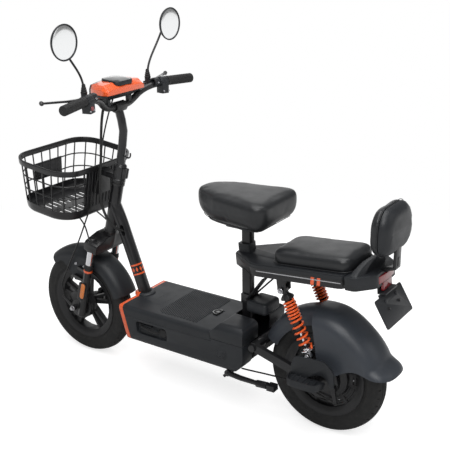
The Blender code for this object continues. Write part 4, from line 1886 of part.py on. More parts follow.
    main_route = [(0.158, -0.028, belly_z(0.158) - 0.0022), (0.146, -0.034, 0.890), (0.136, -0.034, 0.820),
                  (0.132, -0.036, 0.740),
                  (0.128, -0.044, 0.670), (0.134, -0.054, 0.600), (0.156, -0.054, 0.545),
                  (0.182, -0.040, 0.508),
                  (0.193, -0.0120, 0.494)]
    hang_wire(wire(smooth_path(main_route, 2), 0.0045), "control_cables", steering, rubber)
    tip = SPOTS["steering"] @ Vector((front_tip[0], -0.0560, front_tip[1] + 0.0068))
    front_route = [(0.150, 0.020, belly_z(0.150) - 0.0014), (0.134, 0.008, 0.880), (0.122, -0.012, 0.800),
                   (0.116, -0.030, 0.700),
                   (0.104, -0.052, 0.610), (0.078, -0.070, 0.530), (0.040, -0.070, 0.450),
                   (-0.012, -0.060, 0.370),
                   (-0.058, -0.0565, 0.290), (tip.x - 0.010, -0.056, tip.z + 0.040), tip]
    hang_wire(wire(smooth_path(front_route, 2), 0.0025), "front_brake_cable", steering, rubber)
    rear_route = [(POST_X + 0.017, -0.066, 0.150), (POST_X + 0.047, -0.068, 0.153),
                  (PIVOT_X + 0.026, -0.067, 0.158),
                  (PIVOT_X + 0.086, -0.0645, 0.160), (WHEELBASE - 0.051, -0.0635, 0.160),
                  (rear_tip[0] - 0.0068, -0.0635, rear_tip[1])]
    hang_wire(wire(smooth_path(rear_route, 2), 0.0025), "rear_brake_cable", swing, rubber)

    bounds = [root.matrix_world.inverted() @ o.matrix_world @ Vector(c)
              for o in placed_solids() for c in o.bound_box]
    root.location.x = -(min(p.x for p in bounds) + max(p.x for p in bounds)) / 2


def placed_solids():
    """Every solid, once Blender has worked out where it stands."""
    bpy.context.view_layer.update()
    return [o for o in bpy.data.objects if o.type in {"MESH", "CURVE"}]


build()
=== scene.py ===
"""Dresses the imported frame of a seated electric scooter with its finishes, soft seats and detailed pieces.

Lengths are in metres in the frame's coordinates: +X to the rear, +Y to the rider's right, +Z up.
"""
from __future__ import annotations

import json
import logging
import math
from collections.abc import Callable, Iterable, Iterator, Mapping, Sequence
from contextlib import contextmanager
from dataclasses import dataclass, field
from enum import Enum

import bmesh
import bpy
from mathutils import Matrix, Vector
from mathutils.bvhtree import BVHTree

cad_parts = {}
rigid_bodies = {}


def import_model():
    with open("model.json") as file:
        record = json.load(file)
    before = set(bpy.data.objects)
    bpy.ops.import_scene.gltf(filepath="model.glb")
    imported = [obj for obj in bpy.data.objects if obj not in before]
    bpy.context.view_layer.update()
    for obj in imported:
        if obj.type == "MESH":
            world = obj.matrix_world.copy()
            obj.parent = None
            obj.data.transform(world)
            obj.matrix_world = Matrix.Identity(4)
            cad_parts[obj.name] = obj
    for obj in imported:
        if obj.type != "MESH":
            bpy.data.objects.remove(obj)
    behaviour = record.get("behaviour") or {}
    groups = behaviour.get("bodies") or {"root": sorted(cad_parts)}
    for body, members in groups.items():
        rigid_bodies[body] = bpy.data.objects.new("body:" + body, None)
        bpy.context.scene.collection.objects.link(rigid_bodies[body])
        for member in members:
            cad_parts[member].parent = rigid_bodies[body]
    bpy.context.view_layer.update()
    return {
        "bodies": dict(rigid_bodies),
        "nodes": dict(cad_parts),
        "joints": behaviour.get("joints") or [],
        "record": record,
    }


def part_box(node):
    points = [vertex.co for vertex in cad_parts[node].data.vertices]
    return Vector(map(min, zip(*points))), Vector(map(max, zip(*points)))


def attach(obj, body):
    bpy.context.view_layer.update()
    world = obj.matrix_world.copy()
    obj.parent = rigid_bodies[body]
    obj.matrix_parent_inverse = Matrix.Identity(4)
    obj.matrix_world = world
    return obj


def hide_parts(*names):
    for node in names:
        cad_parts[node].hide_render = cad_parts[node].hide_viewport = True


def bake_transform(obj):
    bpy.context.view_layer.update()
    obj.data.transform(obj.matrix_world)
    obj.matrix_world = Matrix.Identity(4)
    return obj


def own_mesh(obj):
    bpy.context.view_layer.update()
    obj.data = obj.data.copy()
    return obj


log = logging.getLogger("scooter")

# Where the front axle lies, and what the rest is measured by.
AXLE_X = -0.50381
AXLE_Z = 0.18937
WHEELBASE = 0.968
RAKE = math.radians(14.5)
RACK_TILT = math.radians(5.0)

# Shading angles in degrees: turned and cut pieces, tubes and sheets, cushions and domes.
CRISP = 35.0
EVEN = 50.0
SOFT = 60.0

# The cushions: the remesh's cell, the frames of the simulation and the most that a point moves.
VOXEL = 0.004
AIR_FRAMES = 20
GIVE = 0.002

# The dust on the tyres.
DUST = (0.30, 0.28, 0.25, 1.0)

Point = tuple[float, float, float]
Colour = tuple[float, float, float]
Profile = list[tuple[float, float]]


class Texture(Enum):
    """The relief that a finish carries."""

    PLAIN = "plain"
    GRAIN = "grain"
    VINYL = "vinyl"
    CAST = "cast"
    RUBBER = "rubber"
    FLAKE = "flake"
    LENS = "lens"
    BRUSHED = "brushed"


class Side(Enum):
    """A side of the scooter, by the rider's hands."""

    LEFT = -1
    RIGHT = 1

    @property
    def word(self) -> str:
        """The side's name in lower case."""
        return self.name.lower()

    @property
    def out(self) -> Vector:
        """The direction out to this side."""
        return Vector((0, self.value, 0))


@dataclass(frozen=True)
class Finish:
    """One surface finish: its colour, gloss and relief.

    mottle is how far the colour varies, scale is in cells a metre and depth is the relief in metres.
    """

    name: str
    colour: Colour
    roughness: float
    texture: Texture = Texture.PLAIN
    metallic: float = 0.0
    coat: float = 0.0
    scale: float = 1400.0
    depth: float = 0.00004
    mottle: float = 0.10
    uneven: float = 0.05
    specular: float = 0.35
    dust: float = 0.0

    def material(self) -> bpy.types.Material:
        """The material, made the first time that it is asked for.

        Returns:
            The material of this finish.
        """
        found = bpy.data.materials.get("finish_" + self.name)
        return found if found else Graph(self).made()


class Nodes:
    """A node tree, with one call that adds a node, sets it and joins it."""

    def __init__(self, tree: bpy.types.NodeTree) -> None:
        """Keep the tree.

        Args:
            tree: The tree to work on.
        """
        self.tree = tree

    def add(self, kind: str, inputs: Mapping[str | int, object] | None = None, **settings: object) -> bpy.types.Node:
        """Add a node.

        Args:
            kind: The node's type, without ShaderNode in front.
            inputs: What its inputs get: a value, or a socket to join.
            settings: Attributes to set on it first.

        Returns:
            The node.
        """
        node = self.tree.nodes.new("ShaderNode" + kind)
        for key, value in settings.items():
            setattr(node, key, value)
        self.feed(node, inputs or {})
        return node

    def feed(self, node: bpy.types.Node, inputs: Mapping[str | int, object]) -> None:
        """Set or join a node's inputs.

        Args:
            node: The node.
            inputs: A value or a socket for each input.
        """
        for key, value in inputs.items():
            if isinstance(value, bpy.types.NodeSocket):
                self.tree.links.new(value, node.inputs[key])
            else:
                node.inputs[key].default_value = value


class Graph(Nodes):
    """Builds the nodes of one finish."""

    def __init__(self, finish: Finish) -> None:
        """Start a material with its shader.

        Args:
            finish: The finish to build.
        """
        self.finish = finish
        self.material = bpy.data.materials.new("finish_" + finish.name)
        self.material.use_nodes = True
        super().__init__(self.material.node_tree)
        self.place = self.add("TexCoord").outputs["Object"]

    def noise(self, scale: float, detail: float, stretch: Point | None = None) -> bpy.types.NodeSocket:
        """A noise value over the object's own coordinates.

        Args:
            scale: Cells a metre.
            detail: Octaves.
            stretch: Scale along each axis.

        Returns:
            The noise's value socket.
        """
        place = self.place
        if stretch:
            place = self.add("Mapping", {"Scale": stretch, "Vector": place}).outputs["Vector"]
        return self.add("TexNoise", {"Scale": scale, "Detail": detail, "Vector": place}).outputs["Fac"]

    def cells(self, feature: str = "F1") -> bpy.types.NodeSocket:
        """The distance in a cell pattern at the finish's scale.

        Args:
            feature: Which distance.

        Returns:
            The distance socket.
        """
        inputs = {"Scale": self.finish.scale, "Vector": self.place}
        return self.add("TexVoronoi", inputs, feature=feature).outputs["Distance"]

    def ranged(self, value: bpy.types.NodeSocket, low: float, high: float,
               start: float = 0.3, end: float = 0.7) -> bpy.types.NodeSocket:
        """Map a value from one range to another.

        Args:
            value: The value.
            low: The result at start.
            high: The result at end.
            start: Where the value's range starts.
            end: Where it ends.

        Returns:
            The mapped value.
        """
        inputs = {"From Min": start, "From Max": end, "To Min": low, "To Max": high, "Value": value}
        return self.add("MapRange", inputs).outputs["Result"]

    def mixed(self, factor: bpy.types.NodeSocket, first: object, second: object) -> bpy.types.NodeSocket:
        """Mix two colours by a factor.

        Args:
            factor: The factor's socket.
            first: The colour at 0, or its socket.
            second: The colour at 1.

        Returns:
            The mixed colour.
        """
        return self.add("Mix", {"Factor": factor, "A": first, "B": second}, data_type="RGBA").outputs["Result"]

    def relief(self, height: bpy.types.NodeSocket, depth: float, strength: float,
               under: bpy.types.NodeSocket | None = None) -> bpy.types.NodeSocket:
        """A bump from a height.

        Args:
            height: The height's socket, from 0 to 1.
            depth: What a height of 1 stands for, in metres.
            strength: How strongly it shows.
            under: A normal that this one is laid over.

        Returns:
            The normal.
        """
        inputs = {"Strength": strength, "Distance": depth, "Height": height}
        return self.add("Bump", inputs | ({"Normal": under} if under else {})).outputs["Normal"]

    def made(self) -> bpy.types.Material:
        """Build every part of the finish.

        Returns:
            The material.
        """
        f = self.finish
        dark, light = ((*(min(c * (1 + share), 1.0) for c in f.colour), 1.0) for share in (-f.mottle, f.mottle))
        colour = self.mixed(self.ranged(self.noise(9.0, 5.0), 0.0, 1.0), dark, light)
        if f.dust > 0:
            colour = self.mixed(self.ranged(self.noise(60.0, 8.0), 0.0, f.dust, 0.45, 0.75), colour, DUST)
        rough = self.ranged(self.noise(23.0, 4.0), max(f.roughness - f.uneven, 0.02), f.roughness + f.uneven)
        inputs = {"Metallic": f.metallic, "Coat Weight": f.coat, "Coat Roughness": 0.08,
                  "Specular IOR Level": f.specular, "Base Color": colour, "Roughness": rough}
        if f.texture is not Texture.PLAIN:
            inputs["Normal"] = self.surface()
        self.feed(self.tree.nodes["Principled BSDF"], inputs)
        return self.material

    def surface(self) -> bpy.types.NodeSocket:
        """The relief of the finish's texture.

        Returns:
            The normal.
        """
        f = self.finish
        match f.texture:
            case Texture.GRAIN:
                return self.relief(self.ranged(self.cells(), 0.0, 1.0, 0.0, 0.8), f.depth, 0.7)
            case Texture.VINYL:
                fine = self.relief(self.cells("DISTANCE_TO_EDGE"), f.depth * 2, 0.5)
                return self.relief(self.noise(26.0, 2.0), 0.0008, 0.08, fine)
            case Texture.CAST:
                return self.relief(self.noise(f.scale, 4.0), f.depth, 0.6)
            case Texture.RUBBER:
                fine = self.relief(self.noise(f.scale, 6.0), f.depth, 0.6)
                return self.relief(self.noise(45.0, 2.0), 0.0006, 0.25, fine)
            case Texture.FLAKE:
                return self.relief(self.noise(240.0, 2.0), 0.0002, 0.05)
            case Texture.LENS:
                return self.relief(self.cells("SMOOTH_F1"), f.depth, 0.9)
            case _:
                return self.relief(self.noise(f.scale, 3.0, (1.0, 1.0, 0.05)), f.depth, 0.4)


PAINT = Finish("satin_black_paint", (0.0105, 0.0105, 0.0115), 0.33, Texture.CAST, coat=0.25, scale=300.0, depth=0.00003)
MOULDED = Finish("moulded_black", (0.0150, 0.0165, 0.0190), 0.42, Texture.GRAIN, scale=1900.0, depth=0.00002)
DECK = Finish("deck_plastic", (0.0165, 0.0185, 0.0215), 0.45, Texture.GRAIN, scale=1500.0, depth=0.00002)
FENDER = Finish("fender_plastic", (0.0420, 0.0475, 0.0570), 0.38, Texture.GRAIN, scale=1600.0, depth=0.00001)
VINYL = Finish("seat_vinyl", (0.0145, 0.0155, 0.0170), 0.36, Texture.VINYL, scale=700.0, depth=0.00004, specular=0.4)
TYRE = Finish("tyre_rubber", (0.0130, 0.0130, 0.0130), 0.62, Texture.RUBBER, scale=700.0, depth=0.00006, dust=0.03)
GRIP = Finish("grip_rubber", (0.0130, 0.0130, 0.0135), 0.55, Texture.RUBBER, scale=1200.0, depth=0.00005)
CABLE = Finish("cable_jacket", (0.014, 0.014, 0.014), 0.45)
CAST = Finish("black_casting", (0.014, 0.014, 0.015), 0.40, Texture.CAST, scale=500.0, depth=0.00006, coat=0.15)
LEVER = Finish("lever_coat", (0.020, 0.020, 0.021), 0.30, coat=0.4)
ORANGE = Finish("orange_gloss", (0.760, 0.108, 0.026), 0.28, Texture.FLAKE, coat=0.9, mottle=0.03)
COIL = Finish("orange_coil", (0.780, 0.115, 0.024), 0.36, Texture.CAST, scale=350.0, depth=0.00005, coat=0.4,
              mottle=0.05)
CHROME = Finish("chrome", (0.80, 0.80, 0.82), 0.10, Texture.BRUSHED, metallic=1.0, scale=900.0, depth=0.00001,
                mottle=0.03)
ZINC = Finish("zinc_plate", (0.52, 0.52, 0.54), 0.32, Texture.CAST, metallic=1.0, scale=900.0, depth=0.00002)
PANE = Finish("smoked_pane", (0.018, 0.021, 0.021), 0.10, coat=1.0, uneven=0.02)
RED_LENS = Finish("red_lens", (0.20, 0.012, 0.016), 0.16, Texture.LENS, coat=1.0, scale=260.0, depth=0.0007)
AMBER = Finish("amber_lens", (0.60, 0.16, 0.015), 0.16, Texture.LENS, coat=1.0, scale=420.0, depth=0.0005)
BOWL = Finish("lamp_bowl", (0.78, 0.79, 0.81), 0.14, Texture.LENS, metallic=0.8, coat=1.0, scale=220.0, depth=0.0004)
SILVER = Finish("mirror_glass", (0.90, 0.91, 0.915), 0.16, metallic=1.0, mottle=0.01, uneven=0.01)
BATTERY = Finish("battery_wrap", (0.028, 0.029, 0.032), 0.44, Texture.GRAIN, scale=900.0, depth=0.00003)
PALE_TAB = Finish("pale_grey_tab", (0.42, 0.43, 0.43), 0.45, Texture.GRAIN, scale=1200.0, depth=0.00002)


def deselect() -> None:
    """Leave edit mode and select nothing."""
    if bpy.context.object and bpy.context.object.mode != "OBJECT":
        bpy.ops.object.mode_set(mode="OBJECT")
    bpy.ops.object.select_all(action="DESELECT")


def only(piece: bpy.types.Object) -> bpy.types.Object:
    """Make a piece the one that operators act on.

    Args:
        piece: The piece.

    Returns:
        The same piece.
    """
    deselect()
    piece.select_set(True)
    bpy.context.view_layer.objects.active = piece
    return piece


def named(name: str) -> bpy.types.Object:
    """Name the active object and its data.

    Args:
        name: The new name.

    Returns:
        The object.
    """
    piece = bpy.context.object
    piece.name = name
    piece.data.name = name
    return piece


def applied(piece: bpy.types.Object, kind: str, **settings: object) -> bpy.types.Object:
    """Add a modifier to a piece and apply it.

    Args:
        piece: The piece.
        kind: The modifier's type.
        settings: Its settings.

    Returns:
        The same piece.
    """
    only(piece)
    modifier = piece.modifiers.new(kind.lower(), kind)
    for key, value in settings.items():
        setattr(modifier, key, value)
    bpy.ops.object.modifier_apply(modifier=modifier.name)
    return piece


@contextmanager
def editing(piece: bpy.types.Object, action: str = "SELECT") -> Iterator[None]:
    """Edit a piece's mesh, and leave edit mode at the end.

    Args:
        piece: The piece.
        action: SELECT or DESELECT, for all of the mesh.

    Yields:
        Nothing.
    """
    only(piece)
    bpy.ops.object.mode_set(mode="EDIT")
    bpy.ops.mesh.select_all(action=action)
    yield
    bpy.ops.object.mode_set(mode="OBJECT")


def rounded(piece: bpy.types.Object, width: float, steps: int = 2, angle: float = 35.0) -> bpy.types.Object:
    """Round a piece's sharp edges.

    Args:
        piece: The piece.
        width: The bevel's width, or 0 for none.
        steps: Its segments.
        angle: Edges sharper than this many degrees are rounded.

    Returns:
        The same piece.
    """
    if not width:
        return piece
    return applied(piece, "BEVEL", width=width, segments=steps, limit_method="ANGLE",
                   angle_limit=math.radians(angle), use_clamp_overlap=True, miter_outer="MITER_ARC")


def smoothed(piece: bpy.types.Object, angle: float = 40.0) -> bpy.types.Object:
    """Shade a piece smooth below an angle.

    Args:
        piece: The piece.
        angle: The angle in degrees.

    Returns:
        The same piece.
    """
    only(piece)
    bpy.ops.object.shade_smooth_by_angle(angle=math.radians(angle))
    return piece


def outward(piece: bpy.types.Object, merge: float = 0.00001) -> bpy.types.Object:
    """Merge a piece's doubles and point its faces outwards.

    Args:
        piece: The piece.
        merge: Points closer than this become one.

    Returns:
        The same piece.
    """
    with editing(piece):
        bpy.ops.mesh.remove_doubles(threshold=merge)
        bpy.ops.mesh.normals_make_consistent(inside=False)
    return piece


def joined(name: str, pieces: Sequence[bpy.types.Object]) -> bpy.types.Object:
    """Join pieces into one object.

    Args:
        name: The result's name.
        pieces: The pieces.

    Returns:
        The joined piece.
    """
    deselect()
    for piece in pieces:
        piece.select_set(True)
    bpy.context.view_layer.objects.active = pieces[0]
    if len(pieces) > 1:
        bpy.ops.object.join()
    return named(name)


def linked(name: str, data: bpy.types.ID) -> bpy.types.Object:
    """Put a new object with the given data in the scene.

    Args:
        name: The object's name.
        data: Its mesh or curve.

    Returns:
        The object.
    """
    piece = bpy.data.objects.new(name, data)
    bpy.context.collection.objects.link(piece)
    return piece


def curve_mesh(name: str, points: Sequence[Point], radius: float = 0.0, sides: int = 3,
               closed: bool = False) -> bpy.types.Object:
    """Draw a line through points, give it a round section and make it a mesh.

    Args:
        name: The piece's name.
        points: The points that it passes.
        radius: The section's radius, or 0 for a bare line.
        sides: The bevel's resolution.
        closed: Whether the line closes.

    Returns:
        The mesh object.
    """
    data = bpy.data.curves.new(name, "CURVE")
    data.dimensions = "3D"
    spline = data.splines.new("POLY")
    spline.points.add(len(points) - 1)
    for spot, place in zip(spline.points, points):
        spot.co = (*place, 1.0)
    spline.use_cyclic_u = closed
    data.bevel_depth = radius
    data.bevel_resolution = sides
    data.use_fill_caps = radius > 0 and not closed
    only(linked(name, data))
    bpy.ops.object.convert(target="MESH")
    return named(name)


def lathe(name: str, profile: Sequence[tuple[float, float]], centre: Point, axis: str = "Y",
          steps: int = 96, closed: bool = False) -> bpy.types.Object:
    """Spin a profile of (radius, distance along the axis) round an axis.

    Args:
        name: The piece's name.
        profile: The profile's points.
        centre: The centre on the axis.
        axis: X, Y or Z.
        steps: Steps of a full turn.
        closed: Whether the profile closes on itself.

    Returns:
        The turned piece.
    """
    cx, cy, cz = centre
    places = {"Y": lambda r, t: (cx, cy + t, cz + r), "X": lambda r, t: (cx + t, cy, cz + r),
              "Z": lambda r, t: (cx + r, cy, cz + t)}
    way = {"X": (1, 0, 0), "Y": (0, 1, 0), "Z": (0, 0, 1)}[axis]
    piece = curve_mesh(name, [places[axis](r, t) for r, t in profile], closed=closed)
    with editing(piece):
        bpy.ops.mesh.spin(steps=steps, angle=2 * math.pi, center=centre, axis=way, dupli=False)
    return outward(piece, 0.00002)


def block(name: str, low: Point, high: Point, bevel: float = 0.001, steps: int = 2) -> bpy.types.Object:
    """A box with rounded edges between two corners.

    Args:
        name: The piece's name.
        low: The lowest corner.
        high: The highest corner.
        bevel: The edges' rounding.
        steps: The rounding's segments.

    Returns:
        The box.
    """
    deselect()
    middle = [(a + b) / 2 for a, b in zip(low, high)]
    size = [b - a for a, b in zip(low, high)]
    bpy.ops.mesh.primitive_cube_add(size=1.0, location=middle, scale=size)
    bpy.ops.object.transform_apply(location=True, rotation=True, scale=True)
    return rounded(named(name), bevel, steps)


def extruded(name: str, outline: Sequence[tuple[float, float]], low: float, high: float, axis: str = "Z",
             bevel: float = 0.0, steps: int = 2) -> bpy.types.Object:
    """Fill an outline and extrude it along an axis.

    Args:
        name: The piece's name.
        outline: Points as (x, y) for Z, (x, z) for Y or (y, z) for X.
        low: Where it starts along the axis.
        high: Where it ends.
        axis: X, Y or Z.
        bevel: The edges' rounding.
        steps: The rounding's segments.

    Returns:
        The extruded piece.
    """
    put = {"Z": lambda a, b: (a, b, low), "Y": lambda a, b: (a, low, b), "X": lambda a, b: (low, a, b)}[axis]
    shift = {"Z": (0, 0, high - low), "Y": (0, high - low, 0), "X": (high - low, 0, 0)}[axis]
    piece = curve_mesh(name, [put(a, b) for a, b in outline], closed=True)
    with editing(piece):
        bpy.ops.mesh.edge_face_add()
        bpy.ops.mesh.extrude_region_move(TRANSFORM_OT_translate={"value": shift})
        bpy.ops.mesh.select_all(action="SELECT")
        bpy.ops.mesh.normals_make_consistent(inside=False)
    return rounded(piece, bevel, steps)


def carved(piece: bpy.types.Object, cutters: Iterable[bpy.types.Object]) -> bpy.types.Object:
    """Cut pieces out of a piece, and drop the cutters.

    Args:
        piece: The piece.
        cutters: What is cut out.

    Returns:
        The same piece.
    """
    for cutter in cutters:
        applied(piece, "BOOLEAN", operation="DIFFERENCE", object=cutter, solver="EXACT")
        bpy.data.objects.remove(cutter, do_unlink=True)
    return piece


def placed(piece: bpy.types.Object, matrix: Matrix) -> bpy.types.Object:
    """Move a piece's mesh by a matrix.

    Args:
        piece: The piece.
        matrix: The move.

    Returns:
        The same piece.
    """
    only(piece)
    piece.matrix_world = matrix
    bpy.ops.object.transform_apply(location=True, rotation=True, scale=True)
    return piece


def mirrored(piece: bpy.types.Object, name: str) -> bpy.types.Object:
    """A copy of a piece on the other side of the scooter.

    Args:
        piece: The piece.
        name: The copy's name.

    Returns:
        The copy.
    """
    only(piece)
    bpy.ops.object.duplicate()
    copy = named(name)
    copy.scale = (1, -1, 1)
    bpy.ops.object.transform_apply(location=False, rotation=False, scale=True)
    return outward(copy)


def box_outline(length: float, width: float, radius: float, centre: tuple[float, float] = (0.0, 0.0),
                steps: int = 6) -> Profile:
    """A rounded rectangle's corners, counterclockwise.

    Args:
        length: Its size along the first axis.
        width: Its size along the second.
        radius: The corners' radius.
        centre: Its centre.
        steps: Steps in each corner.

    Returns:
        The points.
    """
    points = []
    for sx, sy, start in ((1, 1, 0), (-1, 1, 90), (-1, -1, 180), (1, -1, 270)):
        for k in range(steps + 1):
            turn = math.radians(start + 90 * k / steps)
            points.append((centre[0] + sx * (length / 2 - radius) + radius * math.cos(turn),
                           centre[1] + sy * (width / 2 - radius) + radius * math.sin(turn)))
    return points


def two_sided(half: Profile) -> Profile:
    """The closed profile of (radius, distance from the middle) whose one half is given."""
    return [(r, -t) for r, t in half] + [(r, t) for r, t in reversed(half)]


def meshed(name: str, shape: bmesh.types.BMesh) -> bpy.types.Object:
    """Turn a finished bmesh into a piece whose faces point outwards.

    Args:
        name: The piece's name.
        shape: The bmesh, which is freed.

    Returns:
        The piece.
    """
    data = bpy.data.meshes.new(name)
    shape.to_mesh(data)
    shape.free()
    return outward(linked(name, data))


def lofted(name: str, rings: Sequence[Sequence[Point]], capped: bool = True) -> bpy.types.Object:
    """Bridge a row of rings with the same number of points.

    Args:
        name: The piece's name.
        rings: The rings.
        capped: Whether the ends are filled.

    Returns:
        The lofted piece.
    """
    shape = bmesh.new()
    rows = [[shape.verts.new(p) for p in ring] for ring in rings]
    count = len(rings[0])
    for a, b in zip(rows, rows[1:]):
        for i in range(count):
            shape.faces.new((a[i], a[(i + 1) % count], b[(i + 1) % count], b[i]))
    if capped:
        shape.faces.new(rows[0][::-1])
        shape.faces.new(rows[-1])
    return meshed(name, shape)


def softened_copy(node: str, name: str, width: float, steps: int = 2) -> bpy.types.Object:
    """Copy a solid of the frame, merge its loose triangles and round its edges.

    Args:
        node: The frame's node.
        name: The copy's name.
        width: The rounding's width.
        steps: The rounding's segments.

    Returns:
        The copy, a free object.
    """
    copy = linked(name, bpy.data.objects[node].data.copy())
    copy.data.materials.clear()
    with editing(copy):
        bpy.ops.mesh.customdata_custom_splitnormals_clear()
        bpy.ops.mesh.remove_doubles(threshold=0.00002)
        bpy.ops.mesh.dissolve_limited(angle_limit=math.radians(1.0))
    return smoothed(rounded(copy, width, steps, 30.0))


def dress(piece: bpy.types.Object, finish: Finish, body: str, nodes: Sequence[str] = (),
          angle: float | None = 40.0) -> bpy.types.Object:
    """Give a finished piece its finish, and hang it on its body.

    Args:
        piece: The piece.
        finish: Its finish.
        body: The body it rides on, or "" where it is left on no body.
        nodes: The frame's nodes that it stands for.
        angle: The shading angle, or None where the piece keeps its shading.

    Returns:
        The same piece.
    """
    if angle is not None:
        smoothed(piece, angle)
    piece.data.materials.clear()
    piece.data.materials.append(finish.material())
    if body:
        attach(piece, body)
    if nodes:
        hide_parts(*nodes)
    log.info("%s rides on %s, %d faces", piece.name, body, len(piece.data.polygons))
    return piece


def at(x: float, y: float, z: float) -> Vector:
    """A place measured from the front axle along X, as the frame has it."""
    return Vector((x + AXLE_X, y, z))


def touched(node: str, start: Sequence[float], way: Sequence[float]) -> Vector:
    """Where a ray first meets a solid of the frame.

    Args:
        node: The solid.
        start: Where the ray starts.
        way: Where it points.

    Returns:
        The place on the solid.
    """
    mesh = bpy.data.objects[node].data
    tree = BVHTree.FromPolygons([v.co for v in mesh.vertices], [p.vertices for p in mesh.polygons])
    place = tree.ray_cast(Vector(start), Vector(way).normalized())[0]
    if place is None:
        raise ValueError(f"nothing of {node} lies that way from {tuple(start)}")
    return place


def sunk(piece: bpy.types.Object, test: Callable[[bmesh.types.BMFace], bool], rim: float,
         depth: float) -> bpy.types.Object:
    """Inset the faces that pass a test and push them in.

    Args:
        piece: The piece.
        test: Tells whether a face is sunk.
        rim: The width of the slope.
        depth: How deep it goes.

    Returns:
        The same piece.
    """
    with editing(piece, "DESELECT"):
        bpy.ops.mesh.select_mode(type="FACE")
        shape = bmesh.from_edit_mesh(piece.data)
        for face in shape.faces:
            face.select_set(test(face))
        bmesh.update_edit_mesh(piece.data)
        bpy.ops.mesh.inset(thickness=rim, depth=-depth)
    return piece


def ahead_of(piece: bpy.types.Object, place: Sequence[float], normal: Sequence[float]) -> bpy.types.Object:
    """Keep the part of a piece that lies on the normal's side of a plane, and close the cut.

    Args:
        piece: The piece.
        place: A point on the plane.
        normal: The plane's normal.

    Returns:
        The same piece.
    """
    with editing(piece):
        bpy.ops.mesh.bisect(plane_co=tuple(place), plane_no=tuple(normal), use_fill=True, clear_inner=True)
    return piece


def along(start: Sequence[float], way: Sequence[float]) -> Matrix:
    """A frame at the start whose Z axis points a given way.

    Args:
        start: The origin.
        way: Where Z points.

    Returns:
        The matrix.
    """
    return Matrix.Translation(Vector(start)) @ Vector(way).to_track_quat("Z", "Y").to_matrix().to_4x4()


def eased(points: Sequence[Sequence[float]], times: int = 3) -> list[Point]:
    """Round a path's corners by cutting them again and again.

    Args:
        points: The path.
        times: How often its corners are cut.

    Returns:
        The rounded path.
    """
    path = [Vector(p) for p in points]
    for _ in range(times):
        cut = [path[0]]
        for a, b in zip(path, path[1:]):
            cut += [a.lerp(b, 0.25), a.lerp(b, 0.75)]
        path = cut + [path[-1]]
    return [tuple(p) for p in path]


def fastener(name: str, place: Sequence[float], way: Sequence[float], size: float, body: str,
             finish: Finish = ZINC) -> None:
    """A flanged hexagon head with a chamfer.

    Args:
        name: The piece's name.
        place: Where the flange lies.
        way: Where the head points.
        size: Across the flats.
        body: The body it rides on.
        finish: Its finish.
    """
    washer = lathe(name + "_washer", [(0.0, -0.0004), (size * 0.72, -0.0004), (size * 0.74, size * 0.06),
                                      (size * 0.66, size * 0.14), (0.0, size * 0.14)], (0, 0, 0), "Z", 32)
    corner = size / math.sqrt(3.0)
    outline = [(corner * math.cos(math.radians(60 * k)), corner * math.sin(math.radians(60 * k))) for k in range(6)]
    head = extruded(name + "_head", outline, size * 0.12, size * 0.58, "Z", size * 0.07, 2)
    both = placed(joined(name, [head, washer]), along(place, way))
    dress(both, finish, body, (), CRISP)


def piped(name: str, path: Sequence[Sequence[float]], radius: float, sides: int = 5,
          closed: bool = False) -> bpy.types.Object:
    """A round tube along a path, with closed ends."""
    return curve_mesh(name, [tuple(p) for p in path], radius, sides, closed)


@dataclass
class FrameFinishes:
    """Gives every solid of the frame that stays in view its own finish."""

    nodes: dict[str, bpy.types.Object]
    finishes: dict[str, Finish] = field(default_factory=lambda: {
        **dict.fromkeys(("fork_crown", "fork_lowers", "stem", "handlebar", "main_frame", "rear_frame", "swingarm",
                         "kickstand", "backrest_strap", "shock_body_left", "shock_body_right"), PAINT),
        **dict.fromkeys(("basket", "control_box_left", "control_box_right", "rack_cover", "tail_cover",
                         "backrest_shell", "seat_pan", "mirror_stem_left", "mirror_stem_right", "rear_plate",
                         "footrest_left", "footrest_right", "mirror_head_left", "mirror_head_right"), MOULDED),
        **dict.fromkeys(("deck_tray", "deck_lid", "deck_hump", "lid_latch"), DECK),
        **dict.fromkeys(("front_fender", "rear_fender"), FENDER),
        **dict.fromkeys(("front_tyre", "rear_tyre"), TYRE),
        **dict.fromkeys(("front_wheel", "rear_wheel", "front_brake_arm", "rear_brake_arm", "controller"), CAST),
        **dict.fromkeys(("grip_left", "throttle_grip", "charge_cap"), GRIP),
        **dict.fromkeys(("control_cables", "front_brake_cable", "rear_brake_cable"), CABLE),
        **dict.fromkeys(("brake_lever_left", "brake_lever_right"), LEVER),
        **dict.fromkeys(("cowl", "front_trim"), ORANGE),
        **dict.fromkeys(("shock_spring_left", "shock_spring_right"), COIL),
        **dict.fromkeys(("shock_rod_left", "shock_rod_right"), CHROME),
        **dict.fromkeys(("seat_cushion", "passenger_cushion", "backrest_pad"), VINYL),
        "display": PANE, "tail_light": RED_LENS, "horn_button": RED_LENS, "headlight": BOWL,
        "battery_pack": BATTERY,
    })

    def build(self) -> None:
        """Set the material of each node."""
        for name, node in self.nodes.items():
            node.data.materials.clear()
            node.data.materials.append(self.finishes[name].material())
            log.info("%s is finished in %s", name, self.finishes[name].name)


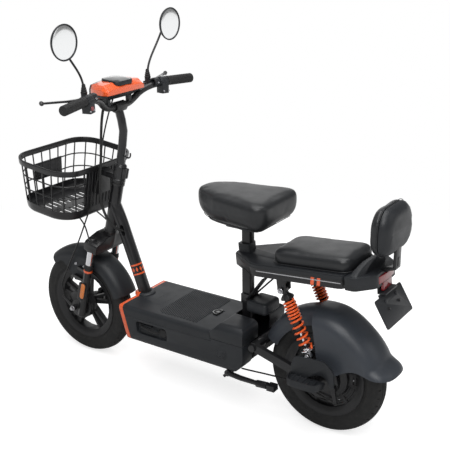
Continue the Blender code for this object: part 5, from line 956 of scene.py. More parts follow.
@dataclass
class RoundedSolids:
    """Rounds the edges of the frame's hard pieces, whose shapes are already right."""

    nodes: tuple[tuple[str, str, Finish, float], ...] = (
        ("front_wheel", "front_wheel", CAST, 0.0008), ("rear_wheel", "rear_wheel", CAST, 0.0008),
        ("fork_lowers", "fork_lowers", PAINT, 0.0010), ("fork_crown", "steering", PAINT, 0.0012),
        ("front_brake_arm", "front_brake_arm", CAST, 0.0005), ("rear_brake_arm", "rear_brake_arm", CAST, 0.0005),
        ("stem", "steering", PAINT, 0.0010), ("control_box_left", "steering", MOULDED, 0.0016),
        ("control_box_right", "steering", MOULDED, 0.0016), ("brake_lever_left", "brake_lever_left", LEVER, 0.0012),
        ("brake_lever_right", "brake_lever_right", LEVER, 0.0012), ("main_frame", "frame", PAINT, 0.0015),
        ("rear_frame", "frame", PAINT, 0.0020), ("deck_tray", "frame", DECK, 0.0030),
        ("deck_hump", "frame", DECK, 0.0050), ("front_trim", "frame", ORANGE, 0.0020),
        ("lid_latch", "lid_latch", GRIP, 0.0008),
        ("battery_pack", "frame", BATTERY, 0.0020),
        ("rack_cover", "frame", MOULDED, 0.0020), ("tail_cover", "frame", MOULDED, 0.0030),
        ("backrest_strap", "frame", PAINT, 0.0012), ("rear_plate", "frame", MOULDED, 0.0006),
        ("backrest_shell", "frame", MOULDED, 0.0020),
        ("seat_pan", "frame", MOULDED, 0.0010), ("swingarm", "swingarm", PAINT, 0.0015),
        ("footrest_left", "swingarm", MOULDED, 0.0015), ("footrest_right", "swingarm", MOULDED, 0.0015),
        ("kickstand", "kickstand", PAINT, 0.0010), ("charge_cap", "charge_cap", GRIP, 0.0006),
        ("shock_body_left", "shock_body_left", PAINT, 0.0008), ("shock_body_right", "shock_body_right", PAINT, 0.0008),
    )

    def build(self) -> None:
        """Make and dress each rounded copy."""
        for node, body, finish, width in self.nodes:
            dress(softened_copy(node, node + "_rounded", width), finish, body, (node,), angle=None)


@dataclass
class Tyre:
    """A tyre: a rounded section with running grooves and cuts across its shoulders."""

    node: str
    body: str
    centre: Vector
    steps: int = 240

    def build(self) -> None:
        """Spin the section and cut the shoulders."""
        half = [(0.1262, 0.0200), (0.1284, 0.0240), (0.1340, 0.0265), (0.1415, 0.0290), (0.1430, 0.0303),
                (0.1450, 0.0303), (0.1465, 0.0298), (0.1540, 0.0311), (0.1640, 0.0312), (0.1725, 0.0300),
                (0.1785, 0.0266), (0.1838, 0.0198), (0.1862, 0.0142), (0.1842, 0.0134), (0.1844, 0.0116),
                (0.1871, 0.0106), (0.1885, 0.0052), (0.1866, 0.0044), (0.1867, 0.0026), (0.1889, 0.0016)]
        rubber = lathe(self.node + "_rubber", two_sided(half), tuple(self.centre), "Y", self.steps, True)
        sunk(rubber, self.on_cut, 0.0008, 0.0018)
        dress(rubber, TYRE, self.body, (self.node,), EVEN)

    def on_cut(self, face: bmesh.types.BMFace) -> bool:
        """Tell whether a face of a shoulder lies in one of the cuts.

        Args:
            face: The face.

        Returns:
            Whether it is cut.
        """
        away = face.calc_center_median() - self.centre
        radius = math.hypot(away.x, away.z)
        step = int((math.atan2(away.z, away.x) + math.pi) / (2 * math.pi) * self.steps)
        return 0.1795 < radius < 0.1835 and abs(away.y) > 0.020 and step % 6 == 0


@dataclass
class RearMotor:
    """The stepped cover between the hub motor and the rim, with its small bright bolts."""

    centre: Vector = field(default_factory=lambda: at(WHEELBASE, 0.0, AXLE_Z))
    bolts: int = 6
    bolt_ring: float = 0.0896

    def build(self) -> None:
        """Make the cover and the bolts on both faces."""
        half = [(0.0745, 0.0080), (0.0800, 0.0100), (0.0848, 0.0100), (0.0858, 0.0078), (0.0935, 0.0078),
                (0.0945, 0.0100), (0.0990, 0.0100), (0.1002, 0.0074), (0.1102, 0.0074)]
        cover = lathe("motor_cover", two_sided(half), tuple(self.centre), "Y", 120, True)
        dress(cover, CAST, "rear_wheel", (), CRISP)
        for side in Side:
            for k in range(self.bolts):
                turn = math.radians(360 * k / self.bolts)
                away = Vector((self.bolt_ring * math.cos(turn), 0.0080 * side.value, self.bolt_ring * math.sin(turn)))
                fastener(f"motor_bolt_{side.word}_{k}", self.centre + away, side.out, 0.0036, "rear_wheel")


@dataclass
class Fork:
    """Chromed stanchions, seals with an orange ring, side reflectors and the axle's nuts."""

    leg: Vector = field(default_factory=lambda: Vector((-0.018, 0.067, 0.0)))
    top: float = 0.172
    crown: float = 0.246

    def place(self) -> Matrix:
        """The steering axis's frame: Z runs up the axis."""
        return Matrix.Translation(at(0.04424, 0.0, AXLE_Z - 0.01144)) @ Matrix.Rotation(RAKE, 4, "Y")

    def build(self) -> None:
        """Make both legs' fittings."""
        for side in Side:
            self.rings(side)
            self.reflector(side)
            axle = at(0.0, 0.0, AXLE_Z)
            face = touched("fork_lowers", axle + 0.3 * side.out, -side.out)
            fastener("axle_nut_" + side.word, face, side.out, 0.013, "fork_lowers")

    def rings(self, side: Side) -> None:
        """Turn the chromed tube, the dust seal and the orange ring under it.

        Args:
            side: The leg's side.
        """
        top = self.top
        tube = [(0.0117, top + 0.0005), (0.0121, top + 0.0005), (0.0121, self.crown), (0.0117, self.crown)]
        seal = [(0.0122, top - 0.002), (0.0156, top - 0.002), (0.0164, top + 0.0005), (0.0164, top + 0.0050),
                (0.0156, top + 0.0060), (0.0156, top + 0.0120), (0.0142, top + 0.0140), (0.0130, top + 0.0165),
                (0.0122, top + 0.0165)]
        band = [(0.0140, top - 0.0125), (0.0158, top - 0.0120), (0.0158, top - 0.0045), (0.0140, top - 0.0040)]
        for name, profile, steps, finish, body, slot in (
                ("stanchion_", tube, 48, CHROME, "steering", "chrome_rod"),
                ("seal_", seal, 64, GRIP, "fork_lowers", "grip_rubber"),
                ("seal_band_", band, 64, ORANGE, "fork_lowers", "orange_moulding")):
            piece = lathe(name + side.word, profile, (self.leg.x, self.leg.y * side.value, 0.0), "Z", steps, True)
            dress(placed(piece, self.place()), finish, body, ())

    def reflector(self, side: Side) -> None:
        """The amber reflector in its black frame on the leg's outer side.

        Args:
            side: The leg's side.
        """
        y = (self.leg.y + 0.0125) * side.value
        for name, size, near, far, bevel, steps, finish, slot in (
                ("reflector_frame_", (0.0215, 0.064, 0.0095), 0.0, 0.0040, 0.0008, 2, MOULDED, "mirror_plastic"),
                ("reflector_lens_", (0.0175, 0.0600, 0.0080), 0.0030, 0.0062, 0.0014, 3, AMBER, "lamp_lens")):
            low, high = sorted((y + near * side.value, y + far * side.value))
            piece = extruded(name + side.word, box_outline(*size, (-0.0164, 0.085)), low, high, "Y", bevel, steps)
            dress(placed(piece, self.place()), finish, "fork_lowers", ())


# The share of a mudguard's section that its rounded crown takes.
CROWN_SHARE = 0.62


def dome(share: float, drop: float, shoulder: float, rise: float) -> tuple[float, float]:
    """A point of a mudguard's section.

    Args:
        share: From -1 at one skirt's foot to 1 at the other's.
        drop: How deep the skirts hang.
        shoulder: How deep the crown's edge lies, where the skirt starts.
        rise: The share of the section that the crown takes.

    Returns:
        The share of the half width and the distance below the crown.
    """
    across = abs(share)
    if across <= rise:
        t = across / rise
        turn = t * math.pi / 2 * 0.97
        return math.copysign(math.sin(turn) ** 0.90, share), shoulder * (1 - math.cos(turn)) ** 1.05
    t = (across - rise) / (1 - rise)
    return math.copysign(1.0, share), shoulder + (drop - shoulder) * t


def ramp(value: float, low: float, high: float) -> float:
    """Rise smoothly from 0 at low to 1 at high."""
    t = min(max((value - low) / (high - low), 0.0), 1.0)
    return t * t * (3 - 2 * t)


def guard(name: str, radius: float, half: float, angles: tuple[float, float], drops: Callable[[float], float],
          lift: Callable[[float], float], shoulder: float, steps: int = 64) -> bpy.types.Object:
    """A mudguard round the origin: an open sheet carried round the Y axis, with a wall of 2.6 mm.

    Args:
        name: The piece's name.
        radius: The crown's radius.
        half: Half the outer width.
        angles: Where it starts and ends, from +X towards +Z, in radians.
        drops: How deep the skirts hang at an angle.
        lift: How far the crown moves out at an angle.
        shoulder: How deep the rounded crown is.
        steps: Steps round the arch.

    Returns:
        The mudguard.
    """
    shape = bmesh.new()
    rows = []
    for k in range(steps + 1):
        a = angles[0] + (angles[1] - angles[0]) * k / steps
        row = []
        for i in range(37):
            u, v = dome(i / 18 - 1, drops(a), shoulder, CROWN_SHARE)
            reach = radius + lift(a) - v
            row.append(shape.verts.new((reach * math.cos(a), u * half, reach * math.sin(a))))
        rows.append(row)
    for first, second in zip(rows, rows[1:]):
        for i in range(len(first) - 1):
            shape.faces.new((first[i], second[i], second[i + 1], first[i + 1]))
    return outward(applied(meshed(name, shape), "SOLIDIFY", thickness=0.0026, offset=-1.0))


@dataclass
class FrontFender:
    """The fork's mudguard with its deep side and the bolts that hold it."""

    def build(self) -> None:
        """Make the guard and its bolts."""
        middle = math.radians(88) + RAKE
        angles = (math.radians(20) + RAKE, math.radians(128) + RAKE)
        sheet = guard("front_guard", 0.2118, 0.0498, angles, lambda a: self.drop(a - middle), lambda a: 0.0, 0.033)
        fork = Fork()
        dress(placed(sheet, fork.place() @ Matrix.Translation((-0.0457, 0, 0))), DECK, "fork_lowers",
              ("front_fender",), EVEN)
        for side in Side:
            for k, (x, z) in enumerate(((-0.090, 0.150), (-0.052, 0.156))):
                face = touched("front_fender", fork.place() @ Vector((x, 0.2 * side.value, z)), -side.out)
                fastener(f"fender_bolt_{side.word}_{k}", face, side.out, 0.007, "fork_lowers")

    def drop(self, away: float) -> float:
        """How deep the skirt hangs, deepest round the middle."""
        return 0.040 + 0.078 * (1.0 - ramp(abs(away), math.radians(9), math.radians(30)))


@dataclass
class RearFender:
    """The swingarm's wide mudguard with its narrow nose and flared tail."""

    radius: float = 0.2218
    half: float = 0.0768
    nose_half: float = 0.0448

    def build(self) -> None:
        """Make the wide part, the nose and the wall between them."""
        move = Matrix.Translation(at(WHEELBASE, 0.0, AXLE_Z))
        wide = guard("rear_guard_wide", self.radius, self.half, (math.radians(14), math.radians(106)),
                     lambda a: 0.1560, self.lift, 0.052, 80)
        nose = guard("rear_guard_nose", self.radius - 0.0035, self.nose_half, (math.radians(78), math.radians(157)),
                     lambda a: 0.052, lambda a: 0.0, 0.033, 56)
        edge = [(-0.032, 0.271), (-0.028, 0.221), (-0.014, 0.167), (0.0, 0.073), (0.018, -0.039)]
        ahead = extruded("ahead", [(-0.268, 0.271)] + edge + [(-0.268, -0.039)], -0.2, 0.2, "Y")
        foot = eased([(p[0], 0.0, p[1]) for p in ((-0.068, 0.011), (0.017, 0.014), (0.049, 0.027), (0.090, 0.058),
                                                  (0.125, 0.069), (0.152, 0.063), (0.182, 0.055), (0.332, 0.055))], 2)
        below = extruded("below", [(-0.068, -0.189)] + [(p[0], p[2]) for p in foot] + [(0.332, -0.189)],
                         -0.2, 0.2, "Y")
        carved(wide, (ahead, below))
        for piece in (wide, nose, self.step(edge)):
            nodes = ("rear_fender",) if piece is wide else ()
            dress(placed(piece, move), FENDER, "swingarm", nodes, EVEN)

    def step(self, edge: Profile) -> bpy.types.Object:
        """The wall that closes the wide part's front against the nose.

        Args:
            edge: The wide part's front edge, seen from the side.

        Returns:
            The wall.
        """
        rows = []
        for x, _, z in eased([(p[0], 0.0, p[1]) for p in edge], 3):
            reach = math.hypot(x, z)
            if reach > self.radius - 0.002 or z < 0.012:
                continue
            outer = self.width(self.radius - reach, self.half, 0.052) - 0.0006
            inner = self.width(max(self.radius - 0.0035 - reach, 0.0), self.nose_half, 0.033) - 0.0030
            near, far = x + 0.0004, x + 0.0030
            rows.append([(near, outer, z), (far, outer, z), (far, inner, z), (near, inner, z)])
        right = lofted("rear_guard_step", rows)
        return joined("rear_guard_step", [right, mirrored(right, "rear_guard_step_left")])

    def width(self, below: float, half: float, shoulder: float) -> float:
        """Measure half the width of a section at a depth below its crown.

        Args:
            below: The depth.
            half: Half the section's full width.
            shoulder: How deep its rounded crown is.

        Returns:
            Half the width there.
        """
        spots = [dome(i / 60, shoulder + 0.1, shoulder, CROWN_SHARE) for i in range(19, 60)]
        return max((u * half for u, v in spots if v <= below), default=half * 0.3)

    def lift(self, a: float) -> float:
        """How far the crown moves out at an angle.

        Args:
            a: The angle round the wheel.

        Returns:
            The distance.
        """
        closer = 0.012 * (1 - ramp(a, math.radians(48), math.radians(85)))
        flare = 0.0258 * (1 - ramp(a, math.radians(14), math.radians(27)))
        return flare - closer


@dataclass
class Basket:
    """The lattice basket: a rolled rim, thin bars, a slotted tray, solid panels and its wire stay."""

    length: float = 0.252
    width: float = 0.356
    base_length: float = 0.228
    base_width: float = 0.310
    height: float = 0.185
    corner: float = 0.078
    tray: float = 0.034
    bar: float = 0.0024
    count: int = 26

    def place(self) -> Matrix:
        """The basket's frame: Z = 0 is the rim's top."""
        return Matrix.Translation(at(-0.0195, 0.0, 0.731)) @ Matrix.Rotation(math.radians(6.5), 4, "Y")

    def outline(self, z: float, inset: float = 0.0) -> list[Vector]:
        """The wall's outline at a height, with round corners and its straights in 6 parts.

        Args:
            z: The height, from 0 at the rim to minus the basket's height.
            inset: How far inside the wall's outer face it runs.

        Returns:
            The closed outline.
        """
        t = -z / self.height
        long = self.length + (self.base_length - self.length) * t - 2 * inset
        wide = self.width + (self.base_width - self.width) * t - 2 * inset
        flat = box_outline(long, wide, self.corner - inset, steps=8)
        points = []
        for k, (x, y) in enumerate(flat):
            nx, ny = flat[(k + 1) % len(flat)]
            parts = 6 if math.hypot(nx - x, ny - y) > 0.02 else 1
            points += [Vector((x + (nx - x) * i / parts, y + (ny - y) * i / parts, z)) for i in range(parts)]
        return points

    def ring(self, inset: float, z: float) -> list[Point]:
        """The wall's outline at a height, pushed in but kept level."""
        return [(p.x, p.y, z) for p in self.outline(z, inset)]

    def build(self) -> None:
        """Make every part of the basket and join them."""
        pieces = [self.rim(), self.tray_shell(), *self.hoops(), *self.ribs(), *self.panels()]
        whole = joined("basket_lattice", pieces)
        dress(placed(whole, self.place()), PAINT, "steering", ("basket",), 45.0)
        self.stay()

    def rim(self) -> bpy.types.Object:
        """The flattened rolled rim.

        Returns:
            The rim.
        """
        section = [(-0.0058, -0.0190), (-0.0058, -0.0040), (-0.0046, -0.0012), (-0.0020, 0.0), (0.0008, -0.0008),
                   (0.0018, -0.0035), (0.0018, -0.0190), (0.0006, -0.0190), (0.0006, -0.0045), (-0.0046, -0.0045),
                   (-0.0046, -0.0190)]
        rings = [self.ring(*spot) for spot in section]
        return lofted("rim", rings + rings[:1], False)

    def tray_shell(self) -> bpy.types.Object:
        """The curved tray with its slots.

        Returns:
            The tray.
        """
        low = -self.height
        wall = [(0.0, low + self.tray), (0.0, low + 0.020), (0.0015, low + 0.009), (0.0060, low + 0.0025),
                (0.0140, low), (0.040, low), (0.040, low + 0.0026), (0.0150, low + 0.0026), (0.0080, low + 0.0050),
                (0.0042, low + 0.0100), (0.0026, low + 0.020), (0.0026, low + self.tray)]
        rings = [self.ring(*spot) for spot in wall]
        tray = lofted("tray_out", rings + rings[:1], False)
        base = extruded("tray_floor", box_outline(0.150, 0.232, 0.038), low, low + 0.0026)
        slots = [block("slot", (x - 0.022, y - 0.0042, low - 0.01), (x + 0.022, y + 0.0042, low + 0.01), 0.0)
                 for y in [-0.088 + 0.022 * k for k in range(9)] for x in (-0.038, 0.038)]
        carved(base, [joined("slots", slots)])
        return joined("tray", [tray, base])

    def hoops(self) -> list[bpy.types.Object]:
        """The two level bars round the wall."""
        return [piped(f"hoop_{k}", self.outline(z, self.bar), self.bar, 3, True)
                for k, z in enumerate((-0.058, -0.104))]

    def ribs(self) -> list[bpy.types.Object]:
        """The upright bars from rim to tray.

        Returns:
            The bars.
        """
        top = self.outline(-0.016, self.bar)
        low = self.outline(-self.height + self.tray - 0.004, self.bar)
        lengths = [0.0]
        for a, b in zip(top, top[1:] + top[:1]):
            lengths.append(lengths[-1] + (b - a).length)
        bars = []
        for k in range(self.count):
            want = lengths[-1] * (k + 0.5) / self.count
            i = next(i for i in range(len(top)) if lengths[i + 1] >= want)
            t = (want - lengths[i]) / (lengths[i + 1] - lengths[i])
            a = top[i].lerp(top[(i + 1) % len(top)], t)
            b = low[i].lerp(low[(i + 1) % len(low)], t)
            bars.append(piped(f"rib_{k}", [a, b], self.bar, 3))
        return bars

    def panels(self) -> list[bpy.types.Object]:
        """The solid panel at the front and the ribbed one at the back.

        Returns:
            The panels and their ribs.
        """
        pieces = []
        floor = -self.height + self.tray - 0.002
        for name, sign, near, far, heights in (("front", -1, -0.074, 0.058, (-0.054, -0.084, -0.114)),
                                               ("back", 1, -0.074, 0.074, (-0.014, -0.060, -0.110, floor))):
            rows = []
            for z in heights:
                x = sign * (self.length + (self.base_length - self.length) * -z / self.height) / 2
                outer, inner = x - sign * 0.0008, x - sign * 0.0036
                rows.append([(outer, near, z), (outer, far, z), (inner, far, z), (inner, near, z)])
            pieces.append(lofted("panel_" + name, rows))
        for k in range(9):
            x, y = self.length / 2, -0.064 + 0.016 * k
            rows = [[(x + foot, y - 0.0016, z), (x + top, y - 0.0008, z), (x + top, y + 0.0008, z),
                     (x + foot, y + 0.0016, z)] for foot, top, z in ((-0.0006, 0.0012, -0.018),
                                                                     (-0.0100, -0.0080, -0.150))]
            pieces.append(lofted(f"panel_rib_{k}", rows))
        return pieces

    def stay(self) -> None:
        """The wire loop under the tray, which is fixed to the fork's crown."""
        here = self.place()
        low = -self.height - 0.0026
        wires = {}
        for side in Side:
            y = side.value
            path = [here @ Vector((-0.060, 0.030 * y, low)), here @ Vector((0.020, 0.036 * y, low)),
                    at(0.045, 0.046 * y, 0.505), at(0.074, 0.062 * y, 0.470), at(0.082, 0.066 * y, 0.458)]
            wires[side.word] = eased(path, 3)
        wires["front"] = [here @ Vector((-0.060, y, low)) for y in (-0.030, 0.030)]
        for word, path in wires.items():
            dress(piped("basket_stay_" + word, path, 0.0026, 4), PAINT, "steering", (), EVEN)


@dataclass
class Handlebar:
    """The swept bar, the grips and the switches' small pieces."""

    path: tuple[Point, ...] = ((0.191, 0.0, 0.917), (0.190, 0.030, 0.9175), (0.186, 0.062, 0.920),
                               (0.203, 0.109, 0.960), (0.229, 0.199, 0.971), (0.249, 0.308, 0.966))

    def build(self) -> None:
        """Make the bar and what sits on it."""
        half = [at(*p) for p in self.path]
        whole = [Vector((p.x, -p.y, p.z)) for p in half[:0:-1]] + half
        dress(piped("bar_tube", eased(whole, 4), 0.0110, 7), PAINT, "steering", ("handlebar",), EVEN)
        self.grip("grip_rubber_left", Side.LEFT, "steering", ("grip_left",))
        self.grip("grip_rubber_right", Side.RIGHT, "throttle_grip", ("throttle_grip",))
        for side in Side:
            self.screws(side)
        self.button()
        self.tab()

    def frame(self, side: Side) -> Matrix:
        """A grip's frame: Z runs out along the bar.

        Args:
            side: The grip's side.

        Returns:
            The frame.
        """
        start, end = (at(x, y * side.value, z) for x, y, z in self.path[-2:])
        return along(start, end - start)

    def grip(self, name: str, side: Side, body: str, nodes: Sequence[str]) -> None:
        """A rubber grip with fine rings, a collar and a closed end.

        Args:
            name: The piece's name.
            side: Its side.
            body: The body it rides on.
            nodes: The solids that it stands for.
        """
        rings = []
        for k in range(24):
            t = 0.010 + 0.0040 * k
            rings += [(0.0158, t), (0.0158, t + 0.0028), (0.0154, t + 0.0031), (0.0154, t + 0.0037)]
        profile = [(0.0113, 0.0012), (0.0160, 0.0012), (0.0166, 0.0020), (0.0166, 0.0060), (0.0158, 0.0074), *rings,
                   (0.0158, 0.1075), (0.0158, 0.1110), (0.0148, 0.1130), (0.0125, 0.1139), (0.0030, 0.1139),
                   (0.0022, 0.1132), (0.0, 0.1132)]
        piece = lathe(name, profile, (0, 0, 0), "Z", 64)
        dress(placed(piece, self.frame(side)), GRIP, body, nodes, CRISP)

    def screws(self, side: Side) -> None:
        """Put the clamp screws on a switch box's rear face.

        Args:
            side: The box's side.
        """
        for k, (t, drop) in enumerate(((-0.028, 0.030), (-0.0075, 0.030), (-0.048, 0.0))):
            start = self.frame(side) @ Vector((0, 0, t)) + Vector((0.2, 0, -drop))
            face = touched("control_box_" + side.word, start, (-1, 0, 0))
            fastener(f"box_screw_{side.word}_{k}", face, (1, 0, 0), 0.0042, "steering")

    def button(self) -> None:
        """The horn's domed button."""
        low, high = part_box("horn_button")
        middle = [(a + b) / 2 for a, b in zip(low, high)]
        reach, back, face = (high[2] - low[2]) / 2, low[0] - middle[0], high[0] - middle[0]
        cap = lathe("horn_cap", [(0.0, back), (reach, back), (reach, face - 0.0012), (reach * 0.86, face - 0.0003),
                                 (reach * 0.55, face), (0.0, face + 0.0002)], tuple(middle), "X", 40)
        dress(cap, RED_LENS, "horn_button", ("horn_button",), CRISP)

    def tab(self) -> None:
        """The pale thumb tab on top of the right switch box."""
        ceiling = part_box("control_box_right")[1][2] + 0.004
        spot = self.frame(Side.RIGHT) @ Vector((0, 0, -0.018))
        tab = block("thumb_tab", (spot.x - 0.004, spot.y - 0.006, spot.z + 0.0145),
                    (spot.x + 0.004, spot.y + 0.004, min(spot.z + 0.024, ceiling)), 0.0018, 3)
        dress(tab, PALE_TAB, "steering", ())


@dataclass
class Cowl:
    """The creased orange cap with its dark nose and belly, the domed display and the lamp."""

    low: float = 0.966
    nose: float = 0.144

    def build(self) -> None:
        """Split the cap's solid by colour and add the display and the lamp."""
        over, cut, gap = Vector((0, 0, self.low + 0.0008)), at(self.nose, 0, 0), Vector((0.0006, 0, 0))
        up, back = Vector((0, 0, 1)), Vector((1, 0, 0))
        for name, planes, round_off, finish, nodes, slot in (
                ("cap", ((over, up), (cut, back)), (0.0022, 3, 22.0), ORANGE, ("cowl",), "orange_moulding"),
                ("nose", ((over, up), (cut - gap, -back)), (0.0022, 3, 22.0), MOULDED, (), "black_moulding"),
                ("belly", ((Vector((0, 0, self.low)), -up),), (0.0015, 2, 25.0), MOULDED, (), "black_moulding")):
            piece = self.copy("cowl_" + name)
            for place, normal in planes:
                ahead_of(piece, place, normal)
            dress(rounded(piece, *round_off), finish, "steering", nodes, 32.0)
        self.display()
        self.lamp()

    def copy(self, name: str) -> bpy.types.Object:
        """A free copy of the cowl's solid with its triangles merged."""
        return outward(softened_copy("cowl", name, 0.00001, 1), 0.0001)

    def display(self) -> None:
        """The smoked dome in its black frame."""
        here = Matrix.Translation(at(0.188, 0.0, 1.003)) @ Matrix.Rotation(math.radians(3), 4, "Y")
        sizes = ((0.078, 0.080, 0.018, -0.0095), (0.078, 0.080, 0.018, 0.0018), (0.0765, 0.0785, 0.0176, 0.0030),
                 (0.0735, 0.0755, 0.0170, 0.0034))
        rings = [[(x, y, z) for x, y in box_outline(a, b, r, steps=10)] for a, b, r, z in sizes]
        frame = lofted("display_frame", rings)
        dress(placed(frame, here), MOULDED, "steering", ("display",))
        domes = []
        for k in range(9):
            t = k / 8
            shrink = 1 - 0.94 * t
            domes.append([(x, y, 0.0030 + 0.0058 * (1 - (1 - t) ** 2)) for x, y in
                          box_outline(0.0725 * shrink, 0.0745 * shrink, 0.0165 * shrink, steps=10)])
        dress(placed(lofted("display_dome", domes), here), PANE, "steering", (), SOFT)

    def lamp(self) -> None:
        """The lamp's housing, bowl and lens."""
        front = 0.118 - 0.024
        centre = tuple(at(0.0, 0.0, 0.950))
        shell = [(0.0, front + 0.050), (0.019, front + 0.050), (0.0215, front + 0.030), (0.0320, front + 0.013),
                 (0.0330, front + 0.002), (0.0322, front + 0.0004), (0.0292, front + 0.0004), (0.0285, front + 0.006),
                 (0.0, front + 0.006)]
        dress(lathe("lamp_shell", shell, centre, "X", 96), MOULDED, "steering", ("headlight",), CRISP)
        rim = [(0.0284, front + 0.0042), (0.0296, front + 0.0008), (0.0306, front + 0.0010), (0.0306, front + 0.0040)]
        dress(lathe("lamp_rim", rim, centre, "X", 96, True), CHROME, "steering", (), CRISP)
        lens = [(0.0, front + 0.0005), (0.012, front + 0.0009), (0.022, front + 0.0022), (0.0283, front + 0.0042),
                (0.0283, front + 0.0058), (0.0, front + 0.0058)]
        dress(lathe("lamp_lens", lens, centre, "X", 96), BOWL, "steering", (), CRISP)


@dataclass
class Mirror:
    """A round mirror: its rubber boot, bent arm, domed shell and glass."""

    side: Side
    foot: Point = (0.188, 0.154, 0.985)
    knee: Point = (0.189, 0.159, 1.034)
    shoulder: Point = (0.192, 0.215, 1.105)
    centre: Point = (0.218, 0.250, 1.152)

    def spot(self, place: Point) -> Vector:
        """A place on this mirror's side."""
        return at(place[0], place[1] * self.side.value, place[2])

    def build(self) -> None:
        """Make the stem and the head."""
        word = self.side.word
        foot, knee, shoulder, centre = (self.spot(p) for p in (self.foot, self.knee, self.shoulder, self.centre))
        ball = centre - Vector((0.028, 0, 0))
        boot = [(0.0, 0.0), (0.0103, 0.0), (0.0105, 0.0045), (0.0090, 0.0056), (0.0092, 0.0110), (0.0078, 0.0122),
                (0.0079, 0.0172), (0.0064, 0.0186), (0.0060, 0.0250), (0.0044, 0.0290), (0.0, 0.0292)]
        rubber = lathe("mirror_boot_" + word, boot, tuple(foot), "Z", 48)
        dress(rubber, GRIP, "mirror_stem_" + word, (), CRISP)
        end = shoulder.lerp(ball, 0.93)
        arm = piped("mirror_arm_" + word, eased([foot + Vector((0, 0, 0.004)), knee, shoulder, end], 4), 0.0035, 6)
        dress(arm, PAINT, "mirror_stem_" + word, ("mirror_stem_" + word,), EVEN)
        self.head(word, centre, shoulder, ball)

    def head(self, word: str, centre: Vector, shoulder: Vector, ball: Vector) -> None:
        """The shell, its socket and the glass.

        Args:
            word: The side's name.
            centre: The glass's middle.
            shoulder: The arm's last bend.
            ball: Where the head turns.
        """
        shell = [(0.0, -0.0034), (0.0493, -0.0034), (0.0500, -0.0006), (0.0512, 0.0), (0.0532, -0.0007),
                 (0.0539, -0.0022), (0.0528, -0.0060), (0.0502, -0.0096), (0.0430, -0.0136), (0.0300, -0.0182),
                 (0.0150, -0.0212), (0.0, -0.0220)]
        dome_piece = lathe("shell", shell, tuple(centre), "X", 96)
        boss = lathe("boss", [(0.0, -0.0340), (0.0070, -0.0340), (0.0084, -0.0325), (0.0085, -0.0190),
                              (0.0, -0.0190)], tuple(centre), "X", 40)
        near = shoulder.lerp(ball, 0.88)
        way = (ball - shoulder).normalized()
        socket = lathe("socket", [(0.0068, 0.0), (0.0084, 0.0008), (0.0085, 0.0118), (0.0, 0.0118), (0.0, 0.0080),
                                  (0.0068, 0.0080)], (0, 0, 0), "Z", 40, True)
        placed(socket, along(near, way))
        head = joined("mirror_shell_" + word, [dome_piece, boss, socket])
        dress(head, MOULDED, "mirror_head_" + word, ("mirror_head_" + word,))
        glass = [(0.0, -0.0008), (0.020, -0.0010), (0.035, -0.0015), (0.0470, -0.0022), (0.0490, -0.0027),
                 (0.0490, -0.0033), (0.0, -0.0033)]
        dress(lathe("mirror_glass_" + word, glass, tuple(centre), "X", 96), SILVER, "mirror_head_" + word, (),
              CRISP)


@dataclass
class Cable:
    """A cable between two glands, laid on the route of its solid."""

    node: str
    body: str
    radius: float
    route: tuple[Point, ...]
    bend: tuple[str, Point, Point] | None = None

    def build(self) -> None:
        path = eased([at(*p) for p in self.route], 3)
        piece = piped(self.node + "_jacket", path, self.radius, 4)
        dress(piece, CABLE, "" if self.bend else self.body, (self.node,), EVEN)
        if self.bend:
            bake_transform(piece)


def inflated(piece: bpy.types.Object) -> bpy.types.Object:
    """Blow a closed cushion up a little with a cloth simulation.

    Args:
        piece: The cushion, slightly smaller than it ends.

    Returns:
        The same piece.
    """
    applied(piece, "REMESH", mode="VOXEL", voxel_size=VOXEL)
    still = [v.co.copy() for v in piece.data.vertices]
    only(piece)
    cloth = piece.modifiers.new("air", "CLOTH")
    for key, value in {"use_pressure": True, "uniform_pressure_force": 4.0, "quality": 6, "mass": 0.3,
                       "tension_stiffness": 15.0, "compression_stiffness": 15.0}.items():
        setattr(cloth.settings, key, value)
    cloth.settings.effector_weights.gravity = 0.0
    scene = bpy.context.scene
    for frame in range(1, AIR_FRAMES + 1):
        scene.frame_set(frame)
    bpy.ops.object.modifier_apply(modifier=cloth.name)
    scene.frame_set(1)
    for vertex, before in zip(piece.data.vertices, still):
        move = vertex.co - before
        if move.length > GIVE:
            vertex.co = before + move.normalized() * GIVE
    applied(piece, "SMOOTH", factor=0.5, iterations=12)
    return applied(piece, "SUBSURF", levels=1, render_levels=1)


